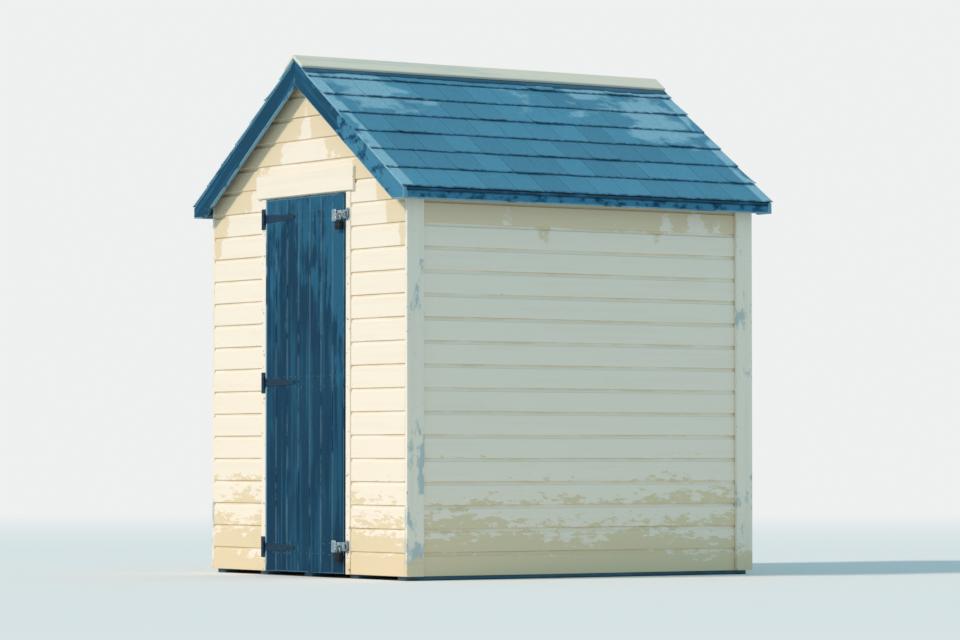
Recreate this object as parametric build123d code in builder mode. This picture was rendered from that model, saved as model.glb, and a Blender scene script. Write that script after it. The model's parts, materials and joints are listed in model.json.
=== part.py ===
"""A small timber beach hut: a shiplap box on bearers under a steep gabled shingle roof.

Sizes are millimetres. X runs to the right along the front, the front faces -Y and Z is up.
The origin is on the ground under the middle of the hut.
"""
from build123d import *
from math import atan2, cos, degrees, hypot, radians, sin, tan
import os

# Overall size of the walls and the roof
wall_width = 1850
wall_depth = 2100
roof_apex = 2587
roof_pitch = 34.5
eaves_reach = 75
verge_reach = 50
cladding_foot = 20
joint_gap = 0.5

# Timber sections
cladding = 16
corner_board = 20
corner_face = 100
stud = 38
wall_frame = 50
bearer_height = 50
bearer_face = 70
bearer_count = 5
deck = 18
side_stud_count = 4
rafter_depth = 60
ridge_thickness = 25
ridge_depth = 92
wall_plate = 38

# Roof covering and trims
shingle = 10
roof_board = 15
shingle_drip = 5
barge_thickness = 20
barge_depth = 100
barge_nose = 52.6
eaves_thickness = 18
cap_wing = 95
cap_thickness = 15
cap_reach = 10

# Doorway
door_width = 750
door_drop = 691
door_gap = 5
door_proud = 5
post_face = 40
post_proud = 6
door_head = 40
stop_width = 18
stop_depth = 30
stop_gap = 5
sill = 16
head_board_height = 120
head_board_reach = 80
head_board_thickness = 16
head_board_gap = 5

# Door leaf
door_board = 20
door_board_count = 7
groove_width = 6
groove_depth = 4
ledge_height = 100
ledge_thickness = 22
ledge_bevel = 4
ledge_clearance = 7
brace_width = 90
ledge_from_foot = 121
ledge_from_top = 95

# Tee hinges
hinge_metal = 3
hinge_plate_height = 105
hinge_plate_width = 36
hinge_plate_gap = 2
knuckle_radius = 6
knuckle_length = 60
strap_shoulder = 12
knuckle_play = 0.4
pin_radius = 3
pin_clearance = 0.3
axis_gap = 1
strap_length = 290
strap_root = 42
strap_tip = 20

# Hasps, staples and padlocks
hasp_from_foot = 135
hasp_from_top = 106
hasp_inset = 67
hasp_height = 44
hasp_plate_width = 40
hasp_plate_height = 60
hasp_plate_gap = 1
hasp_shoulder = 10
hasp_margin = 2
hasp_lift = 3
hasp_knuckle = 5
hasp_knuckle_length = 48
rod_sides = 8
rod_root = 1
staple_rod = 3.5
staple_half_span = 10
staple_reach = 28
staple_plate_width = 34
staple_plate_height = 62
slot_clearance = 2
lug_place = 42
lug_reach = 24
lug_height = 28
lug_drop = 6
shackle_rod = 3.5
shackle_clearance = 0.5
shackle_bend = 13.5
shackle_leg = 12
padlock_width = 50
padlock_height = 44
padlock_thickness = 20
padlock_round = 5
padlock_chamfer = 2

# Places worked out from the sizes above
slope = tan(radians(roof_pitch))
plumb = 1 / cos(radians(roof_pitch))
cladding_x = wall_width / 2 - corner_board
frame_x = cladding_x - cladding
inner_x = frame_x - wall_frame
eaves_x = wall_width / 2 + eaves_reach
cladding_y = wall_depth / 2
frame_y = cladding_y - cladding
inner_y = frame_y - wall_frame
barge_back = cladding_y + verge_reach
barge_front = barge_back + barge_thickness
deck_top = bearer_height + deck
plate_top = deck_top + stud
board_under = shingle + roof_board
rafter_under = board_under + rafter_depth
door_top = roof_apex - door_drop
opening_x = door_width / 2 + door_gap
post_x = opening_x + post_face
post_front = cladding_y + post_proud
head_foot = door_top + door_gap
head_top = head_foot + door_head
tie_top = head_top + stud
door_face = post_front + door_proud
door_back = door_face - door_board
ledge_back = door_back - ledge_thickness
hinge_x = -(door_width / 2 + door_gap / 2)
hinge_y = -(door_face + axis_gap + knuckle_radius)
hasp_axis = door_width / 2 - hasp_inset
hasp_y = -(door_face + axis_gap + hasp_knuckle)
hasp_back = door_face + hasp_lift
hasp_front = hasp_back + hinge_metal
hasp_end = post_x - hasp_margin
staple_x = opening_x + post_face / 2
ledge_ends = (cladding_foot + ledge_from_foot, door_top - ledge_from_top)
ledge_levels = (ledge_ends[0], sum(ledge_ends) / 2, ledge_ends[1])
hasp_levels = (cladding_foot + hasp_from_foot, door_top - hasp_from_top)
sides = {"left": -1, "right": 1}


def roof_z(x, depth):
    """Height, at x from the ridge, of the plane that lies a depth square below the roof's top."""
    return roof_apex - abs(x) * slope - depth * plumb


wall_plate_foot = roof_z(frame_x, rafter_under) - wall_plate
barge_foot = roof_z(eaves_x, shingle) - barge_nose
ridge_foot = roof_z(0, board_under) - ridge_depth


def tie_reach(level):
    """Half length of a gable tie at a level, where it meets the underside of the end rafters."""
    return (roof_z(0, rafter_under) - level) / slope


def block(low, high):
    """A box between two opposite corners."""
    size = [b - a for a, b in zip(low, high)]
    middle = tuple((a + b) / 2 for a, b in zip(low, high))
    with Locations(middle):
        Box(*size)


def across(points, front, back):
    """A piece whose outline is drawn in X and Z, between the depths front and back."""
    with BuildSketch(Plane.XZ.offset(-back)) as outline:
        with BuildLine():
            Polyline(*points, close=True)
        make_face()
    extrude(outline.sketch, amount=back - front)


def along(points, low, high):
    """A piece whose outline is drawn in Y and Z, between two places in X."""
    with BuildSketch(Plane.YZ.offset(low)) as outline:
        with BuildLine():
            Polyline(*points, close=True)
        make_face()
    extrude(outline.sketch, amount=high - low)


def bevelled(x1, x2, foot, depth, front, back):
    """An upright piece between x1 and x2 whose top is cut to the plane a depth under the roof."""
    outline = [(x1, foot), (x2, foot), (x2, roof_z(x2, depth)), (x1, roof_z(x1, depth))]
    across(outline, front, back)


def tube_arc(axis_x, axis_y, radius, low, high):
    """An upright round bar."""
    with BuildSketch(Plane.XY.offset(low)) as ring:
        with Locations((axis_x, axis_y)):
            Circle(radius)
    extrude(ring.sketch, amount=high - low)


def bent_rod(legs, crown, radius):
    """A U of rod: two straight legs, joined by a half circle over its crown."""
    with BuildLine() as bow:
        Line(legs[0], legs[1])
        ThreePointArc(legs[1], crown, legs[2])
        Line(legs[2], legs[3])
    with BuildSketch(Plane(bow.line @ 0, z_dir=bow.line % 0)) as rod:
        RegularPolygon(radius, rod_sides)
    sweep(rod.sketch, path=bow.line)


def save(piece, name):
    """Label a finished sub-part and write it to its own file."""
    piece.part.label = name
    export_step(piece.part, f"parts/{name}.step")


os.makedirs("parts", exist_ok=True)

# Floor: bearers from front to back, with the deck on them
bearer_step = (2 * frame_x - bearer_face) / (bearer_count - 1)
with BuildPart() as floor_bearers:
    with GridLocations(bearer_step, 1, bearer_count, 1):
        Box(bearer_face, 2 * frame_y, bearer_height, align=(Align.CENTER, Align.CENTER, Align.MIN))
save(floor_bearers, "floor_bearers")

with BuildPart() as floor_deck:
    block((-frame_x, -frame_y, bearer_height), (frame_x, frame_y, deck_top))
save(floor_deck, "floor_deck")

# Wall frames: sole plates with the doorway left open, studs, plates and gable ties
with BuildPart() as sole_plates:
    for side in sides.values():
        block_x = sorted((side * (post_x + joint_gap), side * frame_x))
        block((block_x[0], -frame_y, deck_top), (block_x[1], -inner_y, plate_top))
        block_x = sorted((side * inner_x, side * frame_x))
        reach = inner_y - joint_gap
        block((block_x[0], -reach, deck_top), (block_x[1], reach, plate_top))
    block((-frame_x, inner_y, deck_top), (frame_x, frame_y, plate_top))
save(sole_plates, "sole_plates")

with BuildPart() as front_studs:
    for side in sides.values():
        bevelled(side * (frame_x - stud), side * frame_x, plate_top, rafter_under, -frame_y, -inner_y)
        low, high = sorted((side * (post_x + joint_gap), side * (post_x + stud)))
        block((low, -frame_y, plate_top), (high, -inner_y, head_top))
        bevelled(side * post_x, side * (post_x + stud), tie_top, rafter_under, -frame_y, -inner_y)
    block((-stud / 2, -frame_y, tie_top), (stud / 2, -inner_y, ridge_foot))
save(front_studs, "front_studs")

with BuildPart() as rear_studs:
    for side in sides.values():
        bevelled(side * (frame_x - stud), side * frame_x, plate_top, rafter_under, inner_y, frame_y)
        low, high = sorted((side * post_x, side * (post_x + stud)))
        block((low, inner_y, plate_top), (high, frame_y, head_top))
        bevelled(side * post_x, side * (post_x + stud), tie_top, rafter_under, inner_y, frame_y)
    block((-stud / 2, inner_y, tie_top), (stud / 2, frame_y, ridge_foot))
save(rear_studs, "rear_studs")

row_step = (2 * frame_y - stud) / (side_stud_count + 1)
stud_rows = [row * row_step - frame_y + stud / 2 for row in range(1, side_stud_count + 1)]
with BuildPart() as side_studs:
    for side in sides.values():
        low, high = sorted((side * inner_x, side * frame_x))
        for row in stud_rows:
            block((low, row - stud / 2, plate_top), (high, row + stud / 2, wall_plate_foot))
save(side_studs, "side_studs")

with BuildPart() as wall_plates:
    for side in sides.values():
        bevelled(side * inner_x, side * frame_x, wall_plate_foot, rafter_under, -inner_y, inner_y)
save(wall_plates, "wall_plates")

with BuildPart() as gable_ties:
    tie = [
        (-tie_reach(head_top), head_top),
        (tie_reach(head_top), head_top),
        (tie_reach(tie_top), tie_top),
        (-tie_reach(tie_top), tie_top),
    ]
    across(tie, -frame_y, -inner_y)
    across(tie, inner_y, frame_y)
save(gable_ties, "gable_ties")

# Roof frame: a ridge board with pairs of rafters that butt against it
half_ridge = ridge_thickness / 2
with BuildPart() as ridge_board:
    peak = [
        (-half_ridge, ridge_foot),
        (half_ridge, ridge_foot),
        (half_ridge, roof_z(half_ridge, board_under)),
        (0, roof_z(0, board_under)),
        (-half_ridge, roof_z(half_ridge, board_under)),
    ]
    across(peak, -frame_y, frame_y)
save(ridge_board, "ridge_board")

rafter_rows = [-frame_y + stud / 2] + stud_rows + [frame_y - stud / 2]
with BuildPart() as rafters:
    for side in sides.values():
        rafter = [
            (side * half_ridge, roof_z(half_ridge, board_under)),
            (side * frame_x, roof_z(frame_x, board_under)),
            (side * frame_x, roof_z(frame_x, rafter_under)),
            (side * half_ridge, roof_z(half_ridge, rafter_under)),
        ]
        for row in rafter_rows:
            across(rafter, row - stud / 2, row + stud / 2)
save(rafters, "rafters")

# Cladding: the front is split beside and over the doorway
for name, side in sides.items():
    with BuildPart() as front_wall:
        bevelled(side * post_x, side * cladding_x, cladding_foot, board_under, -cladding_y, -frame_y)
    save(front_wall, f"front_wall_{name}")

    with BuildPart() as side_wall:
        bevelled(side * frame_x, side * cladding_x, cladding_foot, board_under, -frame_y, frame_y)
    save(side_wall, f"{name}_wall")

    with BuildPart() as corner_boards:
        for face in (-cladding_y, cladding_y - corner_face):
            board = (side * cladding_x, side * wall_width / 2, cladding_foot, board_under)
            bevelled(*board, face, face + corner_face)
    save(corner_boards, f"corner_boards_{name}")

with BuildPart() as front_gable:
    gable = [
        (-post_x, head_top),
        (post_x, head_top),
        (post_x, roof_z(post_x, board_under)),
        (0, roof_z(0, board_under)),
        (-post_x, roof_z(post_x, board_under)),
    ]
    across(gable, -cladding_y, -frame_y)
save(front_gable, "front_gable")

with BuildPart() as rear_wall:
    gable = [
        (-cladding_x, cladding_foot),
        (cladding_x, cladding_foot),
        (cladding_x, roof_z(cladding_x, board_under)),
        (0, roof_z(0, board_under)),
        (-cladding_x, roof_z(cladding_x, board_under)),
    ]
    across(gable, frame_y, cladding_y)
save(rear_wall, "rear_wall")

# Door frame: posts notched over the deck's edge, head, stops, sill and the board over the door
post_outline = [
    (-post_front, cladding_foot),
    (-frame_y, cladding_foot),
    (-frame_y, deck_top),
    (-inner_y, deck_top),
    (-inner_y, head_foot),
    (-post_front, head_foot),
]
for name, side in sides.items():
    with BuildPart() as door_post:
        along(post_outline, *sorted((side * opening_x, side * post_x)))
    save(door_post, f"door_post_{name}")

with BuildPart() as door_head_rail:
    block((-post_x, -cladding_y, head_foot), (post_x, -inner_y, head_top))
save(door_head_rail, "door_head")

stop_front = door_back - stop_gap
stop_foot = deck_top + sill
with BuildPart() as door_stops:
    for side in sides.values():
        low, high = sorted((side * (opening_x - stop_width), side * opening_x))
        block((low, -stop_front, stop_foot), (high, stop_depth - stop_front, head_foot))
    reach = opening_x - stop_width - joint_gap
    block((-reach, -stop_front, head_foot - stop_width), (reach, stop_depth - stop_front, head_foot))
save(door_stops, "door_stops")

with BuildPart() as door_sill:
    block((-opening_x, -frame_y, deck_top), (opening_x, -inner_y, stop_foot))
save(door_sill, "door_sill")

head_board_foot = head_foot + head_board_gap
head_board_x = opening_x + head_board_reach
head_board_front = cladding_y + head_board_thickness
with BuildPart() as head_board:
    drip = [
        (-head_board_front, head_board_foot),
        (-cladding_y, head_board_foot),
        (-cladding_y, head_board_foot + head_board_height),
        (-cladding_y - head_board_thickness / 2, head_board_foot + head_board_height),
        (-head_board_front, head_board_foot + head_board_height - head_board_thickness / 2),
    ]
    along(drip, -head_board_x, head_board_x)
save(head_board, "head_board")

# Roof covering, trims and the ridge capping
for name, side in sides.items():
    with BuildPart() as roof_boards:
        boards = [
            (0, roof_z(0, shingle)),
            (side * eaves_x, roof_z(eaves_x, shingle)),
            (side * eaves_x, roof_z(eaves_x, board_under)),
            (0, roof_z(0, board_under)),
        ]
        across(boards, -barge_back, barge_back)
    save(roof_boards, f"roof_boards_{name}")

    with BuildPart() as shingles:
        drip_x = eaves_x + shingle_drip
        covering = [
            (0, roof_z(0, 0)),
            (side * drip_x, roof_z(drip_x, 0)),
            (side * drip_x, roof_z(drip_x, shingle)),
            (0, roof_z(0, shingle)),
        ]
        across(covering, -barge_front - shingle_drip, barge_front + shingle_drip)
    save(shingles, f"shingles_{name}")

    level_cut = (roof_z(0, shingle + barge_depth) - barge_foot) / slope
    barge = [
        (0, roof_z(0, shingle)),
        (side * eaves_x, roof_z(eaves_x, shingle)),
        (side * eaves_x, barge_foot),
        (side * level_cut, barge_foot),
        (0, roof_z(0, shingle + barge_depth)),
    ]
    for end, face in (("front", -barge_front), ("rear", barge_back)):
        with BuildPart() as bargeboard:
            across(barge, face, face + barge_thickness)
        save(bargeboard, f"bargeboard_{end}_{name}")

with BuildPart() as eaves_boards:
    for side in sides.values():
        inside = eaves_x - eaves_thickness
        bevelled(side * inside, side * eaves_x, barge_foot, board_under, -barge_back, barge_back)
save(eaves_boards, "eaves_boards")

with BuildPart() as ridge_cap:
    wing_x = cap_wing * cos(radians(roof_pitch))
    edge_x = wing_x + cap_thickness * sin(radians(roof_pitch))
    vee = [
        (0, roof_z(0, 0)),
        (wing_x, roof_z(wing_x, 0)),
        (edge_x, roof_z(edge_x, -cap_thickness)),
        (0, roof_z(0, -cap_thickness)),
        (-edge_x, roof_z(edge_x, -cap_thickness)),
        (-wing_x, roof_z(wing_x, 0)),
    ]
    across(vee, -barge_front - cap_reach, barge_front + cap_reach)
save(ridge_cap, "ridge_cap")

# Door leaf: grooved boards on three ledges, with braces that rise from the hinge side
board_width = door_width / door_board_count
with BuildPart() as door_boards:
    block((-door_width / 2, -door_face, cladding_foot), (door_width / 2, -door_back, door_top))
    for joint in range(1, door_board_count):
        middle = joint * board_width - door_width / 2
        with BuildSketch(Plane.XY.offset(cladding_foot)) as groove:
            with BuildLine():
                Polyline(
                    (middle - groove_width / 2, -door_face),
                    (middle + groove_width / 2, -door_face),
                    (middle, groove_depth - door_face),
                    close=True,
                )
            make_face()
        extrude(groove.sketch, amount=door_top - cladding_foot, mode=Mode.SUBTRACT)
save(door_boards, "door_boards")

ledge_x = opening_x - stop_width - ledge_clearance
with BuildPart() as door_ledges:
    for level in ledge_levels:
        low = (-ledge_x, -door_back, level - ledge_height / 2)
        high = (ledge_x, -ledge_back, level + ledge_height / 2)
        block(low, high)
    inner_faces = door_ledges.faces().filter_by(Axis.Y).group_by(Axis.Y)[-1]
    chamfer(inner_faces.edges(), ledge_bevel)
save(door_ledges, "door_ledges")

with BuildPart() as door_braces:
    for lower, upper in zip(ledge_levels, ledge_levels[1:]):
        foot = lower + ledge_height / 2 + joint_gap
        top = upper - ledge_height / 2 - joint_gap
        rise = top - foot
        run = 2 * ledge_x - brace_width
        flat_cut = brace_width * hypot(run, rise) / rise
        brace = [
            (-ledge_x, foot),
            (flat_cut - ledge_x, foot),
            (ledge_x, top),
            (ledge_x - flat_cut, top),
        ]
        across(brace, -door_back, -ledge_back)
save(door_braces, "door_braces")

# Tee hinges: a plate, two knuckles and the pin on the post, a tapered strap on the door
middle_knuckle = knuckle_length / 3
with BuildPart() as hinge_plates:
    for level in ledge_levels:
        plate_x = -(opening_x + hinge_plate_gap)
        low = (plate_x - hinge_plate_width, -post_front - hinge_metal, level - hinge_plate_height / 2)
        high = (plate_x, -post_front, level + hinge_plate_height / 2)
        block(low, high)
        for end in (-1, 1):
            z1, z2 = sorted((level + end * middle_knuckle / 2, level + end * knuckle_length / 2))
            tube_arc(hinge_x, hinge_y, knuckle_radius, z1, z2)
            arm = (plate_x - hinge_metal, hinge_y, z1)
            block(arm, (hinge_x - pin_radius, -post_front, z2))
        tube_arc(hinge_x, hinge_y, pin_radius, level - knuckle_length / 2, level + knuckle_length / 2)
save(hinge_plates, "hinge_plates")

with BuildPart() as hinge_straps:
    for level in ledge_levels:
        with BuildSketch(Plane.XZ.offset(door_face)) as strap:
            with BuildLine():
                tip_x = hinge_x + strap_length - strap_tip / 2
                root = middle_knuckle / 2 - knuckle_play
                shoulder_x = hinge_x + strap_shoulder
                Polyline(
                    (tip_x, level + strap_tip / 2),
                    (shoulder_x, level + strap_root / 2),
                    (shoulder_x, level + root),
                    (hinge_x, level + root),
                    (hinge_x, level - root),
                    (shoulder_x, level - root),
                    (shoulder_x, level - strap_root / 2),
                    (tip_x, level - strap_tip / 2),
                )
                ThreePointArc(
                    (tip_x, level - strap_tip / 2),
                    (tip_x + strap_tip / 2, level),
                    (tip_x, level + strap_tip / 2),
                )
            make_face()
        extrude(strap.sketch, amount=hinge_metal)
        tube_arc(hinge_x, hinge_y, knuckle_radius, level - root, level + root)
        with BuildSketch(Plane.XY.offset(level - root)) as bore:
            with Locations((hinge_x, hinge_y)):
                Circle(pin_radius + pin_clearance)
        extrude(bore.sketch, amount=2 * root, mode=Mode.SUBTRACT)
save(hinge_straps, "hinge_straps")

# Hasps: a plate with its pin on the door, a slotted strap that closes over a staple on the post
hasp_root = hasp_knuckle_length / 6
with BuildPart() as hasp_plates:
    for level in hasp_levels:
        plate_x = hasp_axis - hasp_knuckle - hasp_plate_gap
        low = (plate_x - hasp_plate_width, -hasp_back, level - hasp_plate_height / 2)
        high = (plate_x, -door_face, level + hasp_plate_height / 2)
        block(low, high)
        for end in (-1, 1):
            z1, z2 = sorted((level + end * hasp_root, level + end * hasp_knuckle_length / 2))
            tube_arc(hasp_axis, hasp_y, hasp_knuckle, z1, z2)
            arm = (plate_x - hasp_plate_gap, hasp_y, z1)
            block(arm, (hasp_axis - pin_radius, -door_face - axis_gap, z2))
        tube_arc(hasp_axis, hasp_y, pin_radius, level - hasp_root, level + hasp_root)
save(hasp_plates, "hasp_plates")

with BuildPart() as hasp_staples:
    for level in hasp_levels:
        low = (staple_x - staple_plate_width / 2, -post_front - hinge_metal, level - staple_plate_height / 2)
        high = (staple_x + staple_plate_width / 2, -post_front, level + staple_plate_height / 2)
        block(low, high)
        root_y = -post_front - rod_root
        bend_y = -post_front - staple_reach + staple_rod + staple_half_span
        below, above = level - staple_half_span, level + staple_half_span
        lower_leg = [(staple_x, root_y, below), (staple_x, bend_y, below)]
        upper_leg = [(staple_x, bend_y, above), (staple_x, root_y, above)]
        bent_rod(lower_leg + upper_leg, (staple_x, bend_y - staple_half_span, level), staple_rod)
save(hasp_staples, "hasp_staples")

lug_x = hasp_axis + lug_place
for name, level in zip(("lower", "upper"), hasp_levels):
    lug_z = level - lug_drop
    lug_y = -(hasp_front + lug_reach - lug_height / 2)
    with BuildPart() as hasp_strap:
        root = hasp_root - knuckle_play
        with BuildSketch(Plane.XZ.offset(hasp_back)) as outline:
            with BuildLine():
                round_x = hasp_end - hasp_height / 2
                shoulder_x = hasp_axis + hasp_shoulder
                Polyline(
                    (round_x, level + hasp_height / 2),
                    (shoulder_x, level + hasp_height / 2),
                    (shoulder_x, level + root),
                    (hasp_axis, level + root),
                    (hasp_axis, level - root),
                    (shoulder_x, level - root),
                    (shoulder_x, level - hasp_height / 2),
                    (round_x, level - hasp_height / 2),
                )
                ThreePointArc(
                    (round_x, level - hasp_height / 2),
                    (hasp_end, level),
                    (round_x, level + hasp_height / 2),
                )
            make_face()
            with Locations((staple_x, level)):
                SlotCenterToCenter(
                    2 * staple_half_span,
                    2 * (staple_rod + slot_clearance),
                    rotation=90,
                    mode=Mode.SUBTRACT,
                )
        extrude(outline.sketch, amount=hinge_metal)
        tube_arc(hasp_axis, hasp_y, hasp_knuckle, level - root, level + root)
        with BuildSketch(Plane.XY.offset(level - root)) as bore:
            with Locations((hasp_axis, hasp_y)):
                Circle(pin_radius + pin_clearance)
        extrude(bore.sketch, amount=2 * root, mode=Mode.SUBTRACT)
        with BuildSketch(Plane.YZ.offset(lug_x - hinge_metal / 2)) as lug:
            with Locations((lug_y, lug_z)):
                Circle(lug_height / 2)
            with Locations(((lug_y - hasp_front) / 2, lug_z)):
                Rectangle(lug_y + hasp_front, lug_height)
            with Locations((lug_y, lug_z)):
                Circle(shackle_rod + shackle_clearance, mode=Mode.SUBTRACT)
        extrude(lug.sketch, amount=hinge_metal)
    save(hasp_strap, f"{name}_hasp_strap")

    bend_z = lug_z - shackle_bend
    body_top = bend_z - shackle_leg
    with BuildPart() as padlock:
        with BuildSketch(Plane.XZ.offset(-lug_y - padlock_thickness / 2)) as case:
            with Locations((lug_x, body_top - padlock_height / 2)):
                RectangleRounded(padlock_width, padlock_height, padlock_round)
        extrude(case.sketch, amount=padlock_thickness)
        case_faces = padlock.faces().filter_by(Axis.Y)
        chamfer(case_faces.edges(), padlock_chamfer)
        root_z = body_top - rod_root
        left, right = lug_x - shackle_bend, lug_x + shackle_bend
        left_leg = [(left, lug_y, root_z), (left, lug_y, bend_z)]
        right_leg = [(right, lug_y, bend_z), (right, lug_y, root_z)]
        bent_rod(left_leg + right_leg, (lug_x, lug_y, lug_z), shackle_rod)
    save(padlock, f"{name}_padlock")
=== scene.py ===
"""Dress the packed beach hut in weathered shiplap, felt shingles, painted boards and ironmongery.

Lengths are metres in the hut's own frame: X runs to the right along the front, the front faces -Y and Z is
up. Each new piece is a lattice of two parameters, worked out as whole arrays and skinned once.
"""
import json
import logging
from collections.abc import Callable, Sequence
from dataclasses import dataclass
from enum import Enum, IntEnum
from functools import cache, cached_property
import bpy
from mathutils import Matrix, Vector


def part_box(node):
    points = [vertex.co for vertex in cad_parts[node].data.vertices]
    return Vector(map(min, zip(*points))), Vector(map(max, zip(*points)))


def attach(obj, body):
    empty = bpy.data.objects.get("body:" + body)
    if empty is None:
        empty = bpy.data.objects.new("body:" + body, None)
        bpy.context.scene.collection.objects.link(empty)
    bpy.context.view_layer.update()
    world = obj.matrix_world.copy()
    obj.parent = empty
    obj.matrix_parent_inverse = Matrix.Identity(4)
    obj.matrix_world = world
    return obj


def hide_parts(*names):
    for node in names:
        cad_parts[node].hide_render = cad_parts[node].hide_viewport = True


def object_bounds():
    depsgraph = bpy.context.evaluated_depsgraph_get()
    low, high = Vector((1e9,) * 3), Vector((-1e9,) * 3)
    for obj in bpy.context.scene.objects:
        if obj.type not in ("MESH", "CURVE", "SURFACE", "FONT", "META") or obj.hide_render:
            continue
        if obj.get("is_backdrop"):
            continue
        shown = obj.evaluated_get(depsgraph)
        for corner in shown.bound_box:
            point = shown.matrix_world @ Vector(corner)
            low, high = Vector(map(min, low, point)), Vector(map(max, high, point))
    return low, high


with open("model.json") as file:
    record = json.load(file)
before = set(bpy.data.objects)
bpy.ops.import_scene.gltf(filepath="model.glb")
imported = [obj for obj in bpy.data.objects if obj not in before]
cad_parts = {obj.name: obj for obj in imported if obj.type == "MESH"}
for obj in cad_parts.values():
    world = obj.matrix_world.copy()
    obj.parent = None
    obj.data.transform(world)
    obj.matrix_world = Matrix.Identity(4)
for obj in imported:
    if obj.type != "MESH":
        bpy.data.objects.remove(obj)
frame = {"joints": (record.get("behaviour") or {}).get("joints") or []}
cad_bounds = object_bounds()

from inspect import signature
from math import atan, cos, radians, sin
from typing import NamedTuple

import bpy
import numpy as np
from mathutils import Vector

Array = np.ndarray
Colour = tuple[float, float, float]

log = logging.getLogger("beach_hut")

X, Y, Z = np.eye(3)
BOTH = np.array([-1, 1])
SQUARE = np.array([(-1, -1), (1, -1), (1, 1), (-1, 1)])
QUARTER = np.radians([90.0, 45.0, 0.0])
BOARD_ROUND = 0.008
PLATE_ROUND = 0.010
CUT_GAP = 0.0008
WORN = 0.012
GRAIN_SPREAD = 40.0
END_GRAIN_STRETCH = 14.0


class Body(Enum):
    """Rigid bodies of the hut."""

    HUT = "hut"
    DOOR = "door"
    UPPER_HASP = "upper_hasp"
    LOWER_HASP = "lower_hasp"


class Way(IntEnum):
    """Opposite ways from the hut's middle, as the sign of an axis."""

    @property
    def label(self) -> str:
        """The way's word in a piece's name."""
        return self.name.lower()

    def span(self, near: float, far: float) -> list[float]:
        """Two distances from the middle as places on this way, the lower first."""
        return sorted((self * near, self * far))


class Side(Way):
    """Sides of the hut, along X."""

    LEFT = -1
    RIGHT = 1


class End(Way):
    """Gable ends of the hut, along Y."""

    FRONT = -1
    REAR = 1


class Turning(Enum):
    """Heads and collars, as the heights and the radii of their rings."""

    DECK_SCREW = (-0.001, 0.0002, 0.0005), (0.004, 0.004, 0.0033)
    WALL_NAIL = (-0.002, 0.0004, 0.0009), (0.0036, 0.0036, 0.0022)
    DOOR_NAIL = (-0.002, 0.0006, 0.0012), (0.0042, 0.0042, 0.0026)
    IRON_SCREW = (-0.0005, 0.0002, 0.0012, 0.0018, 0.002), (0.0046, 0.0046, 0.0038, 0.0024, 0.0012)
    COLLAR = (-0.001, 0.0012, 0.002), (0.0062, 0.0062, 0.0048)
    KEY_COVER = (-0.001, 0.0, 0.0002), (0.006, 0.006, 0.0052)


class Slot(Enum):
    """Material slots of the packed record."""

    BEARER = "bearer_timber"
    DECK = "deck_timber"
    FRAME = "frame_timber"
    WALL = "wall_paint"
    TRIM = "trim_paint"
    BOARDING = "roof_boarding"
    SHINGLE = "shingle"
    RIDGE = "ridge_paint"
    BARGE = "barge_paint"
    DOOR = "door_paint"
    HINGE = "hinge_metal"
    GALVANISED = "galvanised"
    PADLOCK = "padlock_case"

    @property
    def finish(self) -> str:
        """The name of the slot's material."""
        return self.value.replace("_", " ").capitalize()


def srgb(*levels: int) -> Colour:
    """Linear light of a colour whose red, green and blue are given from 0 to 255."""
    share = np.array(levels) / 255
    return tuple(np.where(share <= 0.04045, share / 12.92, ((share + 0.055) / 1.055) ** 2.4).tolist())


def darker(colour: Colour, share: float) -> Colour:
    """The same colour with a share of its light."""
    return tuple(share * level for level in colour)


def box(node: str) -> Array:
    """Lowest and highest corner of a packed node, as two rows."""
    return np.array(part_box(node))


def pin_of(joint: str) -> Array:
    """Place of a joint of the packed record."""
    return np.array(next(j["pos_m"] for j in frame["joints"] if j["name"] == joint))


def unit(vectors: Array) -> Array:
    """The same vectors with a length of one."""
    return vectors / np.linalg.norm(vectors, axis=-1, keepdims=True)


def weave(*values: Array | float) -> Array:
    """Values spread to one shape and set side by side along a last axis."""
    return np.stack(np.broadcast_arrays(*values), -1)


def circle(angle: Array) -> Array:
    """Points of a circle whose radius is one."""
    return weave(np.cos(angle), np.sin(angle))


def grid(*rows: Array | float) -> Array:
    """Every point whose coordinates are taken from three rows of values."""
    return weave(*np.meshgrid(*(np.ravel(row) for row in rows), indexing="ij")).reshape(-1, 3)


def walk(origin: Array, *moves: tuple[Array | float, Array]) -> Array:
    """Points that lie at distances along directions from an origin."""
    return origin + sum(np.asarray(distance)[..., None] * way for distance, way in moves)


def sides_of(outline: Array) -> Array:
    """Sides of a closed outline, each from its point to the next."""
    return np.roll(outline, -1, 0) - outline


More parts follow.
